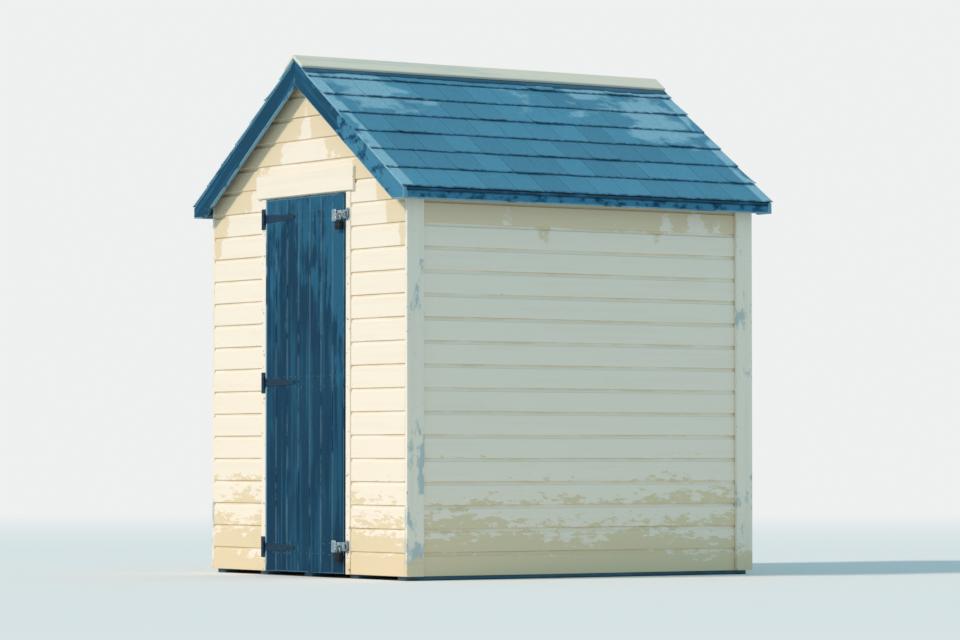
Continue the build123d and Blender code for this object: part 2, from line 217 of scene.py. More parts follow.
@dataclass
class Surface:
    """Closed shapes as arrays: points, the corners of faces, the sizes of faces, and what the finishes read.

    Each corner has a place on the grain map, in metres along and across the grain. Each point has marks: its
    board's own number, its wear, its dirt and the height of its board. Lined faces take bare timber.
    """

    points: Array
    corners: Array
    sizes: Array
    grain: Array
    marks: Array
    lining: Array
    smooth: Array

    @classmethod
    def join(cls, *shapes: "Surface") -> "Surface":
        """Gather several shapes into one piece.

        Args:
            *shapes: Shapes that share a piece.

        Returns:
            One surface that holds them all.
        """
        starts = np.cumsum([0] + [len(shape.points) for shape in shapes[:-1]])
        rows = {name: [getattr(shape, name) for shape in shapes] for name in cls.__dataclass_fields__}
        rows["corners"] = [corners + start for corners, start in zip(rows["corners"], starts)]
        return cls(**{name: np.concatenate(parts) for name, parts in rows.items()})

    def publish(self, name: str, slot: Slot, *nodes: str, body: Body = Body.HUT) -> None:
        """Make a piece of the arrays, in the slot's finish, and set it to ride on its body.

        Args:
            name: The piece's name.
            slot: Slot of the record that the piece takes its finish from.
            *nodes: Packed nodes that the piece stands for.
            body: Body that carries the piece.
        """
        mesh = bpy.data.meshes.new(name)
        mesh.vertices.add(len(self.points))
        mesh.vertices.foreach_set("co", self.points.astype(np.float32).ravel())
        mesh.loops.add(len(self.corners))
        mesh.loops.foreach_set("vertex_index", self.corners.astype(np.int32))
        mesh.polygons.add(len(self.sizes))
        starts = np.cumsum(self.sizes) - self.sizes
        mesh.polygons.foreach_set("loop_start", starts.astype(np.int32))
        mesh.polygons.foreach_set("material_index", self.lining.astype(np.int32))
        mesh.polygons.foreach_set("use_smooth", self.smooth.astype(bool))
        mesh.uv_layers.new(name="grain").data.foreach_set("uv", self.grain.astype(np.float32).ravel())
        marks = mesh.attributes.new("marks", "FLOAT_COLOR", "POINT")
        marks.data.foreach_set("color", self.marks.astype(np.float32).ravel())
        mesh.update(calc_edges=True)
        for face in (slot, Slot.FRAME)[:1 + self.lining.any()]:
            mesh.materials.append(bpy.data.materials[face.finish])
        piece = bpy.data.objects.new(name, mesh)
        bpy.context.scene.collection.objects.link(piece)
        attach(piece, body.value)
        if nodes:
            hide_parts(*nodes)
        log.info("%s: %d faces on %s", name, len(self.sizes), body.value)


def loft(
    points: Array,
    grain: Array,
    seed: int,
    edge: Array | float = 0.0,
    crevice: Array | float = 0.0,
    level: Array | float = 0.0,
    lining: Array | bool = False,
    smooth: Array | bool = True,
    ring: bool = False,
    caps: Array | None = None,
) -> Surface:
    """Skin lattices of m stations by n profile points into closed shapes.

    The face (i, j) joins the points (i, j), (i, j + 1), (i + 1, j + 1) and (i + 1, j), with j wrapped round
    the profile, and the first and last profile close the ends, unless the stations run round in a ring.

    Args:
        points: Lattices, shaped (k, m, n, 3) or (m, n, 3), anticlockwise seen from the last station.
        grain: Grain map, shaped (k, m, n, 2) or (m, n, 2), or with one column more to end at.
        seed: Seed of each shape's own number and of its place on the grain map.
        edge: Wear of the points.
        crevice: Dirt of the points.
        level: Height that each shape's dirt is stepped by.
        lining: True for faces of bare timber.
        smooth: True for faces that are shaded round.
        ring: True where the last station joins the first.
        caps: Grain map of the two closing faces, shaped (k, 2, n, 2).

    Returns:
        The skinned shapes.
    """
    points = points.reshape(-1, *points.shape[-3:])
    k, m, n, _ = points.shape
    rng = np.random.default_rng(seed)
    tone, shift = rng.random((k, 1, 1)), rng.uniform(0, GRAIN_SPREAD, (k, 1, 1, 2))
    if grain.shape[-2] == n:
        grain = np.concatenate([grain, grain[..., :1, :]], -2)
    if ring:
        grain = np.concatenate([grain, grain[..., :1, :, :]], -3)
    grain = grain + shift
    index = np.arange(k * m * n).reshape(k, m, n)
    here = np.arange(m if ring else m - 1)
    near, far = index[:, here], index[:, (here + 1) % m]
    quads = weave(near, np.roll(near, -1, 2), np.roll(far, -1, 2), far)
    low, high = grain[:, here], grain[:, here + 1]
    maps = [np.stack([low[:, :, :-1], low[:, :, 1:], high[:, :, 1:], high[:, :, :-1]], 3).reshape(-1, 2)]
    corners, sizes = [quads.ravel()], [np.full(quads[..., 0].size, 4)]
    closing = 0 if ring else 2 * k
    if closing:
        ends = grain[:, [0, -1], :-1] if caps is None else caps + shift
        corners += [index[:, 0, ::-1].ravel(), index[:, -1].ravel()]
        maps += [ends[:, 0, ::-1].reshape(-1, 2), ends[:, 1].reshape(-1, 2)]
        sizes.append(np.full(closing, n))
    flags = [np.broadcast_to(flag, near.shape).ravel() for flag in (lining, smooth)]
    level = np.reshape(level, (-1, 1, 1))
    marks = [np.broadcast_to(mark, (k, m, n)) for mark in (tone, edge, crevice, level)]
    return Surface(
        points.reshape(-1, 3),
        np.concatenate(corners),
        np.concatenate(sizes),
        np.concatenate(maps),
        np.stack(marks, -1).reshape(-1, 4),
        *(np.append(flag, np.zeros(closing, bool)) for flag in flags),
    )


def inward(outline: Array) -> Array:
    """Work out how each point of a closed outline moves when every side is drawn in by one.

    It is the sum of the two sides' unit normals over one plus their product, which is held at 0.4 or more so
    that sharp points don't run away.

    Args:
        outline: Points, anticlockwise.

    Returns:
        One vector for each point.
    """
    after = unit(sides_of(outline))
    normal = weave(-after[:, 1], after[:, 0])
    before = np.roll(normal, 1, 0)
    return (before + normal) / (1 + np.sum(before * normal, 1, keepdims=True)).clip(0.4)


def rounded(corners: Array, radius: Array | float, steps: int = 5) -> Array:
    """Turn each corner of a convex polygon by an arc.

    The arc's middle lies radius over the cosine of half the turn inside the corner, on its bisector, and the
    arc runs from the normal of the side before to the normal of the side after.

    Args:
        corners: Polygon, anticlockwise.
        radius: Radius of every corner, or one for each.
        steps: Points on each arc.

    Returns:
        The outline's points.
    """
    radius = np.broadcast_to(radius, len(corners)).reshape(-1, 1, 1)
    middle = corners[:, None] + inward(corners)[:, None] * radius
    after = unit(sides_of(corners))
    end = np.arctan2(-after[:, 0], after[:, 1])
    start = np.roll(end, 1)
    turn = start[:, None] + ((end - start) % (2 * np.pi))[:, None] * np.linspace(0, 1, steps)
    return (middle + radius * circle(turn)).reshape(-1, 2)


def stadium(length: float, width: float, steps: int = 9) -> Array:
    """Draw a slot along the first axis: a half circle at each end, anticlockwise from its lower right.

    Args:
        length: Whole length.
        width: Whole width.
        steps: Points of each half circle.

    Returns:
        The outline's points, centred.
    """
    turn = np.linspace(-np.pi / 2, np.pi / 2, steps)
    right = circle(turn) * width / 2 + ((length - width) / 2, 0)
    return np.vstack([right, -right])


@dataclass(frozen=True)
class Section:
    """End outline of a board, anticlockwise, as (up, out) rows, with the wear and the dirt of its points.

    Its first sides, as many as `backs`, face into the hut.
    """

    outline: Array
    edge: Array | float = 0.5
    crevice: Array | float = 0.0
    backs: int = 0

    @classmethod
    def timber(cls, width: float, thickness: float, radius: float = 0.002, wear: float = 0.006) -> "Section":
        """Draw a rounded rectangle: a quarter circle at each corner with a plain point on either side.

        Args:
            width: Size along the outline's first axis.
            thickness: Size along its second axis.
            radius: Radius of the corners.
            wear: How far wear reaches from a corner.

        Returns:
            The section, centred on the board's line.
        """
        half = np.array([width, thickness]) / 2
        reach = np.minimum(radius + wear, 0.9 * half)
        arc = half - radius + radius * circle(QUARTER[::-1])
        first = np.vstack([[half[0], half[1] - reach[1]], arc, [half[0] - reach[0], half[1]]])
        outline = np.vstack([first, first[::-1] * (-1, 1), -first, first[::-1] * (1, -1)])
        return cls(outline, np.tile([0.0, 1.0, 1.0, 1.0, 0.0], 4))

    @classmethod
    def shiplap(cls, cover: float, thickness: float, rise: float = 0.018, scoop: float = 0.007) -> "Section":
        """Draw a shiplap board: a flat face, a rounded lower edge and a quarter ellipse scooped from its top.

        Args:
            cover: Height that each board covers.
            thickness: Thickness of the face.
            rise: Height of the scoop.
            scoop: Depth of the scoop.

        Returns:
            The section, with its back lower corner on the board's line.
        """
        turn, radius, plain, lip = np.radians([90.0, 65.0, 40.0, 20.0, 0.0]), 0.0025, 0.012, 0.002
        hollow = (cover - lip, thickness) - (rise, scoop) * circle(turn)
        nose = (radius, thickness - radius) + radius * circle(QUARTER) * (-1, 1)
        face = [(cover - rise - plain, thickness), (plain, thickness)]
        return cls(
            np.vstack([[(0, 0), (cover, 0), (cover, thickness - scoop)], hollow, face, nose]),
            edge=np.array([0, 0, 0, 0, 0, 0, 0.3, 0.8, 0, 0, 1, 1, 0.6]),
            crevice=np.array([0, 1, 1, 1, 0.9, 0.5, 0.25, 0.1, 0, 0, 0.1, 0.5, 1.0]),
            backs=1,
        )

    def run(
        self,
        origin: Array,
        along: Array,
        out: Array,
        span: Array,
        seed: int,
        soften: float = 0.0015,
        bow: float = 0.0006,
        stations: int = 3,
        wear: float = 0.006,
        rise: Array | None = None,
        level: Array | float = 0.0,
    ) -> Surface:
        """Carry the section along straight boards.

        A point is origin + s along + p up + q out. Within the softening r of an end the outline is drawn in
        by r(1 - cos t) at r(1 - sin t) from the end, a quarter round, and between the ends each board bows by
        a sine of its own phase.

        Args:
            origin: Start of each board's line, shaped (k, 3).
            along: Direction of the boards.
            out: Direction that the boards face.
            span: Where each board starts and ends along its line, shaped (2,), (k, 2) or (k, n, 2).
            seed: Seed of the boards' own numbers.
            soften: Radius of the ends.
            bow: How far a board bows.
            stations: Stations between the ends.
            wear: How far wear reaches from an end.
            rise: The outline's first axis for each board, where it differs, shaped (k, n).
            level: Height that each board's dirt is stepped by.

        Returns:
            The boards.
        """
        rng = np.random.default_rng(seed)
        origin, span = np.atleast_2d(origin), np.asarray(span, float)
        k, n = len(origin), len(self.outline)
        span = np.broadcast_to(span if span.ndim == 3 else span.reshape(-1, 1, 2), (k, n, 2))[:, None]
        low, length = span[..., 0], span[..., 1] - span[..., 0]
        lead = np.append(soften * (1 - np.sin(QUARTER)), soften + wear)[:, None]
        lead = np.minimum(lead, 0.45 * length)
        share = np.linspace(0, 1, stations + 2)[1:-1, None]
        place = np.concatenate([low + lead, low + length * share, low + length - lead[:, ::-1]], 1)
        draw = soften * (1 - np.cos(QUARTER))
        draw = np.concatenate([draw, np.zeros(stations + 2), draw[::-1]])[:, None, None]
        tip = np.concatenate([np.ones(3), np.zeros(stations + 2), np.ones(3)])[:, None]
        profile = self.outline + inward(self.outline) * draw
        share = (place - low) / length.clip(1e-6)
        phase, size = rng.random((k, 1, 1)), rng.uniform(-bow, bow, (2, k, 1, 1))
        wave = np.sin(2 * np.pi * (share + phase))
        p = (profile[..., 0] if rise is None else rise[:, None]) + size[0] * np.sin(np.pi * share) * wave
        q = profile[..., 1] + size[1] * wave
        side = np.linalg.norm(sides_of(self.outline), axis=1)
        return loft(
            walk(origin[:, None, None], (place, along), (p, np.cross(out, along)), (q, out)),
            weave(place[..., np.arange(n + 1) % n], np.append(0, np.cumsum(side))),
            seed,
            edge=np.maximum(self.edge, tip),
            crevice=self.crevice,
            level=level,
            lining=np.arange(n) < self.backs,
            smooth=side < BOARD_ROUND,
            caps=weave(p[:, [0, -1]] * END_GRAIN_STRETCH, q[:, [0, -1]]),
        )


def timbers(x: Array, y: Array, z: Array, along: Array, seed: int, radius: float = 0.002) -> Surface:
    """Fill the boxes between pairs of planes with straight timbers, alike in section.

    Args:
        x: Lowest and highest X of each box, shaped (2,) or (k, 2).
        y: The same for Y.
        z: The same for Z.
        along: X, Y or Z, whichever their grain runs along.
        seed: Seed of their own numbers.
        radius: Radius of their edges.

    Returns:
        The timbers.
    """
    pairs, out = weave(*(np.atleast_2d(pair) for pair in (x, y, z))), np.roll(along, 1)
    size = pairs[0, 1] - pairs[0, 0]
    section = Section.timber(abs(size @ np.cross(out, along)), size @ out, radius)
    origin = pairs.mean(1) * (1 - along)
    return section.run(origin, along, out, pairs @ along, seed, bow=0.0004, stations=4)


class Plane(NamedTuple):
    """Flat frame that plates are drawn in: its zero point on the plate's back and its two axes."""

    origin: Array
    across: Array = X
    up: Array = Z

    def place(self, outline: Array, height: Array | float) -> Array:
        """Points of the outline, raised by a height towards the plate's front."""
        out = np.cross(self.across, self.up)
        return self.origin + outline[..., :1] * self.across + outline[..., 1:] * self.up + height * out


def plate(
    plane: Plane,
    outline: Array,
    depth: float,
    seed: int,
    soften: float = 0.0007,
    wear: float = 0.002,
    turn: float = 0.0,
) -> Surface:
    """Carry a rounded rim along a closed outline and close it back and front.

    The rim goes from r(1 - sin t) inside the outline to r(1 - cos t) in height, the same at the front, and
    one more ring inside each face keeps the wear near the rim.

    Args:
        plane: Frame of the outline.
        outline: The plate's outline, either way round.
        depth: Thickness of the plate.
        seed: Seed of the plate's own number.
        soften: Radius of the rim.
        wear: How far wear reaches from the rim.
        turn: Angle of the grain to the outline's first axis.

    Returns:
        The plate.
    """
    if np.sum(np.cross(outline, sides_of(outline))) < 0:
        outline = outline[::-1]
    rise, draw = soften * (1 - circle(QUARTER[::-1])).T
    inset = np.concatenate([[soften + wear], draw, draw[::-1], [soften + wear]])[:, None, None]
    height = np.concatenate([[0], rise, depth - rise[::-1], [depth]])[:, None, None]
    flat = outline + inward(outline) * inset
    grain = flat @ np.array([(cos(turn), -sin(turn)), (sin(turn), cos(turn))]) + height * (0, 1)
    edge = np.array([0, 1, 1, 1, 1, 1, 1, 0])[:, None]
    side = np.linalg.norm(sides_of(outline), axis=1)
    return loft(plane.place(flat, height), grain, seed, edge=edge, smooth=side < PLATE_ROUND)


def holed_plate(plane: Plane, outer: Array, hole: Array, depth: float, seed: int) -> Surface:
    """Carry a bevelled rim round between an outline and a hole, as one closed ring.

    Both are cast on the rays from the middle to every corner of either, where a ray leaves an outline at the
    least d / (n . ray) over its sides.

    Args:
        plane: Frame of the outlines, with its zero in the hole.
        outer: The plate's outline, convex and anticlockwise.
        hole: The hole's outline, convex and anticlockwise.
        depth: Thickness of the plate.
        seed: Seed of the plate's own number.

    Returns:
        The plate.
    """
    corners, rings, rim, least = np.vstack([outer, hole]), [], 0.0005, 1e-6
    ray = circle(np.unique(np.arctan2(corners[:, 1], corners[:, 0]).round(2)))
    for outline in (outer, hole):
        side = unit(sides_of(outline))
        normal = weave(side[:, 1], -side[:, 0])
        facing = ray @ normal.T
        distance = np.sum(normal * outline, 1) / np.maximum(facing, least)
        rings.append(ray * np.where(facing > least, distance, np.inf).min(1)[:, None])
    outer, hole = rings
    outside, inside = outer + inward(outer) * rim, hole - inward(hole) * rim
    flat = np.stack([outer, outer, outside, inside, hole, hole, inside, outside])
    height = np.array([rim, depth - rim, depth, depth, depth - rim, rim, 0, 0])[:, None, None]
    edge = np.array([1, 1, 0.8, 0.6, 0.8, 0.8, 0.6, 0.8])[:, None]
    return loft(plane.place(flat, height), flat, seed, edge=edge, smooth=False, ring=True)


def turned(
    centres: Array,
    axis: Array,
    profile: tuple[Sequence[float], Sequence[float]],
    seed: int,
    sides: int,
    slot: float = 0.0,
    bored: bool = False,
) -> Surface:
    """Turn a profile about an axis: a ring of each radius at each height, and a flat face at each end.

    A driver's slot crosses the rings in the top four tenths, a fifth of the radius to either side.

    Args:
        centres: Middle of each copy, shaped (k, 3).
        axis: Direction of the axis.
        profile: Heights of the rings and their radii.
        seed: Seed of the copies' own numbers and turns.
        sides: Points of each ring.
        slot: Depth of the slot.
        bored: True where the profile closes on itself round a bore.

    Returns:
        The turned copies.
    """
    centres = np.atleast_2d(centres)[:, None, None]
    heights, radii = np.array(profile)[..., None]
    angle = np.arange(sides) * 2 * np.pi / sides
    top = (heights > heights[-1] * 0.6) & (radii < radii.max() * 0.95)
    height = heights - slot * top * (np.abs(radii * np.sin(angle)) < 0.2 * radii.max())
    angle = angle + np.random.default_rng(seed).uniform(0, 2 * np.pi, (len(centres), 1, 1))
    first = unit(np.cross(axis, X if abs(axis[0]) < 0.9 else Y))
    wide, deep = radii * np.cos(angle), radii * np.sin(angle)
    points = walk(centres, (wide, first), (deep, np.cross(axis, first)), (height, axis))
    grain = weave(heights, np.arange(sides + 1) * radii.max() * 2 * np.pi / sides)
    return loft(points, grain, seed, edge=0.6, crevice=heights <= heights[0], ring=bored)


def hoop(start: Array, crown: Array, end: Array, leg: Array, radius: float, seed: int) -> Surface:
    """Bend a rod into a U: a leg, a half circle from start over its crown to end, and a leg.

    The half circle is middle + (start - middle) cos t + (crown - middle) sin t, and a point of the rod is
    its line + r (cos a normal + sin a side), where side is square to the line and to the normal.

    Args:
        start: Where the bend starts.
        crown: Its furthest point.
        end: Where it ends.
        leg: From either end of the bend to the rod's end.
        radius: Radius of the rod.
        seed: Seed of the rod's own number.

    Returns:
        The rod.
    """
    sides, turn, middle = 12, np.linspace(0, np.pi, 14)[:, None], (start + end) / 2
    arc = middle + (start - middle) * np.cos(turn) + (crown - middle) * np.sin(turn)
    path = np.vstack([start + leg, arc, end + leg])
    normal = unit(np.cross(crown - middle, start - middle))
    side = np.cross(unit(np.gradient(path, axis=0)), normal)
    angle = np.arange(sides + 1)[:, None] * 2 * np.pi / sides
    points = path[:, None] + radius * (np.cos(angle) * normal + np.sin(angle) * side[:, None])
    length = np.append(0, np.cumsum(np.linalg.norm(np.diff(path, axis=0), axis=1)))
    return loft(points[:, :sides], weave(length[:, None], radius * angle[:, 0]), seed, edge=0.5)


class Hut:
    """Places of the hut's main faces as distances from its middle, read from its packed nodes."""

    def __init__(self) -> None:
        """Work the faces out from the nodes' boxes."""
        front, side, boards = box("front_wall_right"), box("right_wall"), box("roof_boards_right")
        tabs, barge, head = box("shingles_right"), box("bargeboard_front_right"), box("door_head")
        self.wall_x, self.wall_y = side[1, 0], -front[0, 1]
        self.frame_x, self.frame_y = side[0, 0], -front[1, 1]
        self.inner_y = box("wall_plates")[1, 1]
        self.inner_x = self.frame_x - (self.frame_y - self.inner_y)
        self.foot, self.deck_top = side[0, 2], box("floor_deck")[1, 2]
        self.post_x, self.head_top = head[1, 0], head[1, 2]
        self.eaves_x, self.drip_x = boards[1, 0], tabs[1, 0]
        self.barge_back, self.barge_front, self.barge_foot = boards[1, 1], -barge[0, 1], barge[0, 2]
        self.verge, self.apex = tabs[1, 1:]
        self.slope = (boards[1, 2] - tabs[0, 2]) / tabs[1, 0]
        self.pitch = atan(self.slope)
        self.shingle = (self.apex - boards[1, 2]) * cos(self.pitch)
        self.under = (self.apex - self.eaves_x * self.slope - boards[0, 2]) * cos(self.pitch)
        self.boarding = self.under - self.shingle

    def roof_z(self, x: Array | float, depth: float) -> Array | float:
        """Height at x of the plane a depth square below the roof's top."""
        return self.apex - np.abs(x) * self.slope - depth / cos(self.pitch)

    def roof_x(self, z: Array | float, depth: float) -> Array | float:
        """Distance from the middle at which that plane is z high."""
        return (self.apex - depth / cos(self.pitch) - z) / self.slope

    def facing(self, side: Side) -> Array:
        """Direction that a slope of the roof faces."""
        return np.array([side * sin(self.pitch), 0.0, cos(self.pitch)])

    def downhill(self, side: Side) -> Array:
        """Direction down a slope of the roof."""
        return np.array([side * cos(self.pitch), 0.0, -sin(self.pitch)])

    def on_slope(self, side: Side, distance: Array | float, depth: Array | float = 0.0) -> Array:
        """Points a distance down a slope from the ridge and a depth square below its top."""
        return walk(self.apex * Z, (distance, self.downhill(side)), (depth, -self.facing(side)))


class Field:
    """An output of a node. A sum of fields adds the nodes that work it out, and [] takes another output."""

    def __init__(self, graph: "Graph", node: bpy.types.Node, output: str | int = 0) -> None:
        """Take an output of a node by its name or number."""
        self.graph, self.node, self.output = graph, node, output

    def __getitem__(self, output: str | int) -> "Field":
        """Another output of the same node."""
        return Field(self.graph, self.node, output)

    def __add__(self, other: "Field | float") -> "Field":
        """This plus another."""
        return self.graph.math("ADD", self, other)

    def __sub__(self, other: "Field | float") -> "Field":
        """This less another."""
        return self.graph.math("SUBTRACT", self, other)

    def __mul__(self, other: "Field | float") -> "Field":
        """This times another."""
        return self.graph.math("MULTIPLY", self, other)

    def most(self, other: "Field | float") -> "Field":
        """The larger of this and another."""
        return self.graph.math("MAXIMUM", self, other)

    def above(self, limit: float) -> "Field":
        """One where this is above a limit, and nothing elsewhere."""
        return self.graph.math("GREATER_THAN", self, limit)

    def ramp(self, low: float, high: float, start: float = 0.0, end: float = 1.0) -> "Field":
        """Move this smoothly from the range low to high to the range start to end, and hold it there."""
        inputs = {0: self, 1: low, 2: high, 3: start, 4: end}
        return self.graph.node("MapRange", inputs, interpolation_type="SMOOTHSTEP")

    def between(self, start: float, end: float) -> "Field":
        """Go smoothly from start to end as this goes from 0 to 1."""
        return self.ramp(0.0, 1.0, start, end)

    @property
    def size(self) -> "Field":
        """This without its sign."""
        return self.graph.math("ABSOLUTE", self)

    @property
    def axes(self) -> list["Field"]:
        """The three coordinates of this place."""
        split = self.graph.node("SeparateXYZ", {0: self})
        return [split[number] for number in range(3)]

    @property
    def red(self) -> "Field":
        """The red of this colour, whose next outputs are its green and its blue."""
        return self.graph.node("SeparateColor", {0: self})

    def mix(self, first: "Value", second: "Value") -> "Field":
        """Blend from the first colour to the second by this share."""
        return self.graph.node("Mix", {0: self, 6: first, 7: second}, data_type="RGBA", clamp_factor=True)[2]


Value = Field | float | Sequence[float]


class Reads(NamedTuple):
    """What a surface gives: its place in the hut's frame, its grain map and its marks."""

    place: Field
    grain: Field
    tone: Field
    edge: Field
    crevice: Field
    level: Field


class Graph:
    """Node tree under construction, its colour so far, and short calls for the nodes that finishes share."""

    def __init__(self, tree: bpy.types.NodeTree) -> None:
        """Start on a tree, emptied."""
        tree.nodes.clear()
        self.tree, self.colour = tree, (0.0, 0.0, 0.0)

    def node(self, kind: str, inputs: dict[str | int, Value] | None = None, **settings: object) -> Field:
        """Add a node, with its settings and what goes into its sockets.

        Args:
            kind: Blender's name of the node, without its ShaderNode start.
            inputs: Sockets by name or number, with a field to link or a plain value.
            **settings: Properties of the node.

        Returns:
            The node's first output.
        """
        made = self.tree.nodes.new("ShaderNode" + kind)
        for name, value in settings.items():
            setattr(made, name, value)
        for name, value in (inputs or {}).items():
            socket = made.inputs[name]
            if isinstance(value, Field):
                self.tree.links.new(value.node.outputs[value.output], socket)
            else:
                socket.default_value = (*value, 1.0) if socket.type == "RGBA" else value
        return Field(self, made)

    def math(self, operation: str, first: Value, second: Value = 0.0) -> Field:
        """One sum of two values."""
        return self.node("Math", {0: first, 1: second}, operation=operation)

    def stretch(self, at: Field, scale: Sequence[float] | float, shift: Value = (0.0, 0.0, 0.0)) -> Field:
        """Scale a place, on each axis or on all, and shift it."""
        inputs = {0: at, 1: np.broadcast_to(scale, 3).tolist(), 2: shift}
        return self.node("VectorMath", inputs, operation="MULTIPLY_ADD")

    def noise(
        self,
        at: Field,
        scale: Sequence[float] | float,
        detail: float = 2.0,
        rough: float = 0.5,
        shift: Value = (0.0, 0.0, 0.0),
    ) -> Field:
        """Cloudy noise from 0 to 1.

        Args:
            at: Place that it reads.
            scale: Clouds to the metre, on each axis or on all.
            detail: How many finer layers it has.
            rough: How strong they are.
            shift: Where it starts.

        Returns:
            The noise.
        """
        inputs = {"Vector": self.stretch(at, scale, shift), "Scale": 1.0}
        return self.node("TexNoise", inputs | {"Detail": detail, "Roughness": rough})

    def apart(self, number: Field, step: float) -> Field:
        """A place of its own for each number, far from the next one's."""
        return self.node("CombineXYZ", {2: number * step})

    def coat(self, share: Field, colour: Value) -> None:
        """Lay a coat of another colour over the colour so far, as strong as its share."""
        self.colour = share.mix(self.colour, colour)

    def dim(self, share: Field) -> None:
        """Scale the colour so far."""
        self.colour = self.node("VectorMath", {0: self.colour, "Scale": share}, operation="SCALE")

    def bump(self, height: Field, relief: float) -> Field:
        """Normals of a relief, where a height of 1 measures so many metres."""
        return self.node("Bump", {"Height": height, "Distance": relief})

    @cached_property
    def surface(self) -> Reads:
        """Read the material's surface.

        Returns:
            Its place, its grain map and its marks.
        """
        marks = self.node("Attribute", attribute_name="marks")
        place, grain = self.node("TexCoord")["Object"], self.node("UVMap", uv_map="grain")
        tone = marks["Color"].red
        return Reads(place, grain, tone, edge=tone[1], crevice=tone[2], level=marks["Alpha"])

    def use(self, group: Callable[[], bpy.types.NodeTree], **values: Value) -> Field:
        """Place a node group, and read from the surface what its inputs aren't given.

        Args:
            group: Function that hands out the group.
            **values: Some of its inputs, in small letters.

        Returns:
            The group's first output.
        """
        tree, known = group(), self.surface._asdict() | values
        names = [item.name for item in tree.interface.items_tree if item.in_out == "INPUT"]
        return self.node("Group", {name: known[name.lower()] for name in names}, node_tree=tree)

    def close(self, shader: Field, kind: str = "OutputMaterial") -> None:
        """End the tree in a shader."""
        self.node(kind, {"Surface": shader})


def effect(build: Callable[..., dict[str, Field]]) -> Callable[[], bpy.types.NodeTree]:
    """Make a node group, built once, of a function from a graph and some fields to named fields.

    Args:
        build: The function. The group's inputs are named after its parameters and its outputs after its keys.

    Returns:
        A function that hands out the group.
    """

    @cache
    def group() -> bpy.types.NodeTree:
        """Build the group and keep it.

        Returns:
            The group.
        """
        tree = bpy.data.node_groups.new(build.__name__.replace("_", " ").capitalize(), "ShaderNodeTree")
        names = [name.capitalize() for name in list(signature(build).parameters)[1:]]
        for name in names:
            kind = "NodeSocketVector" if name in ("Place", "Grain") else "NodeSocketFloat"
            tree.interface.new_socket(name, in_out="INPUT", socket_type=kind)
        g = Graph(tree)
        source, sink = (tree.nodes.new("NodeGroup" + end) for end in ("Input", "Output"))
        for name, field in build(g, *(Field(g, source, name) for name in names)).items():
            tree.interface.new_socket(name, in_out="OUTPUT", socket_type="NodeSocketFloat")
            tree.links.new(field.node.outputs[field.output], sink.inputs[name])
        return tree

    group.__doc__ = build.__doc__
    return group


@effect
def timber_grain(g: Graph, grain: Field, tone: Field) -> dict[str, Field]:
    """Growth rings drawn out along the board, fine fibres, and knots that the rings run round.

    Args:
        g: The group's graph.
        grain: Grain map.
        tone: The board's own number.

    Returns:
        The outputs by name.
    """
    offset = g.apart(tone, 37.0)
    cells = g.node("TexVoronoi", {"Vector": g.stretch(grain, (1.5, 6.0, 1.0), offset), "Scale": 1.0})
    knot = cells["Distance"].ramp(0.05, 0.16, 1.0, 0.0)
    pulled = g.noise(grain, (1.4, 5.0, 1.0), 2.0, shift=offset) * 2.4 + knot * 0.8
    rings = g.stretch(grain, (0.7, 34.0, 1.0), g.node("CombineXYZ", {1: pulled, 2: tone * 37.0}))
    figure = g.noise(rings, 1.0, 3.0, 0.6).ramp(0.3, 0.7)
    return {"Figure": figure, "Fibre": g.noise(grain, (7.0, 380.0, 1.0), 2.0, 0.7, offset), "Knot": knot}


@effect
def knocked_edges(g: Graph, place: Field, edge: Field, amount: Field) -> dict[str, Field]:
    """Paint gone from exposed edges, where broken noise is under the wear."""
    return {"Worn": (edge * amount - g.noise(place, 34.0, 4.0, 0.6)).ramp(-0.03, 0.03)}


@effect
def flaked_paint(g: Graph, grain: Field, tone: Field, amount: Field) -> dict[str, Field]:
    """Patches of bare timber drawn out along the grain, and the curl of the paint round them.

    Args:
        g: The group's graph.
        grain: Grain map.
        tone: The board's own number.
        amount: How much paint is off.

    Returns:
        The outputs by name.
    """
    offset = g.apart(tone, 19.0)
    patch = g.noise(grain, (1.7, 14.0, 1.0), 5.0, 0.68, offset)
    over = patch + g.noise(grain, (9.0, 150.0, 1.0), 2.0, shift=offset) * 0.12 + amount * 0.5
    bare = over.ramp(0.86, 0.89)
    return {"Bare": bare, "Lift": (over.ramp(0.80, 0.87) - bare).most(0.0)}


@effect
def faded_streaks(g: Graph, grain: Field, tone: Field) -> dict[str, Field]:
    """Long pale streaks down the boards, broken along their length, and the lines that the brush left.

    Args:
        g: The group's graph.
        grain: Grain map.
        tone: The board's own number.

    Returns:
        The outputs by name.
    """
    offset = g.apart(tone, 53.0)
    line = g.noise(grain, (0.9, 34.0, 1.0), 2.0, 0.55, offset)
    cut = g.noise(grain, (3.2, 9.0, 1.0), 3.0, 0.6, offset)
    brush = g.noise(grain, (2.6, 230.0, 1.0), shift=offset)
    return {"Streak": (line + cut * 0.6).ramp(0.80, 0.98), "Brush": brush}


@effect
def splashed_foot(g: Graph, place: Field, level: Field, reach: Field) -> dict[str, Field]:
    """Sand and damp from the ground up: each board is soiled from its lap upwards, less the higher it is.

    Height within a board counts three times as much as the height of the board, and ragged noise moves both.

    Args:
        g: The group's graph.
        place: Place in the hut's frame.
        level: Height of the board.
        reach: How high the splashes go.

    Returns:
        The outputs by name.
    """
    stepped = g.apart(level, 37.0)
    broad = g.noise(place, (1.9, 1.9, 0.0), 1.0, shift=stepped).ramp(0.3, 0.7, -0.12, 0.12)
    ragged = g.noise(place, (12.0, 12.0, 36.0), 5.0, 0.72, stepped).ramp(0.2, 0.8, -0.26, 0.26)
    counted = level * -2.0 + place.axes[2] * 3.0
    return {"Splash": (reach + broad + ragged - counted).ramp(-0.01, 0.03)}


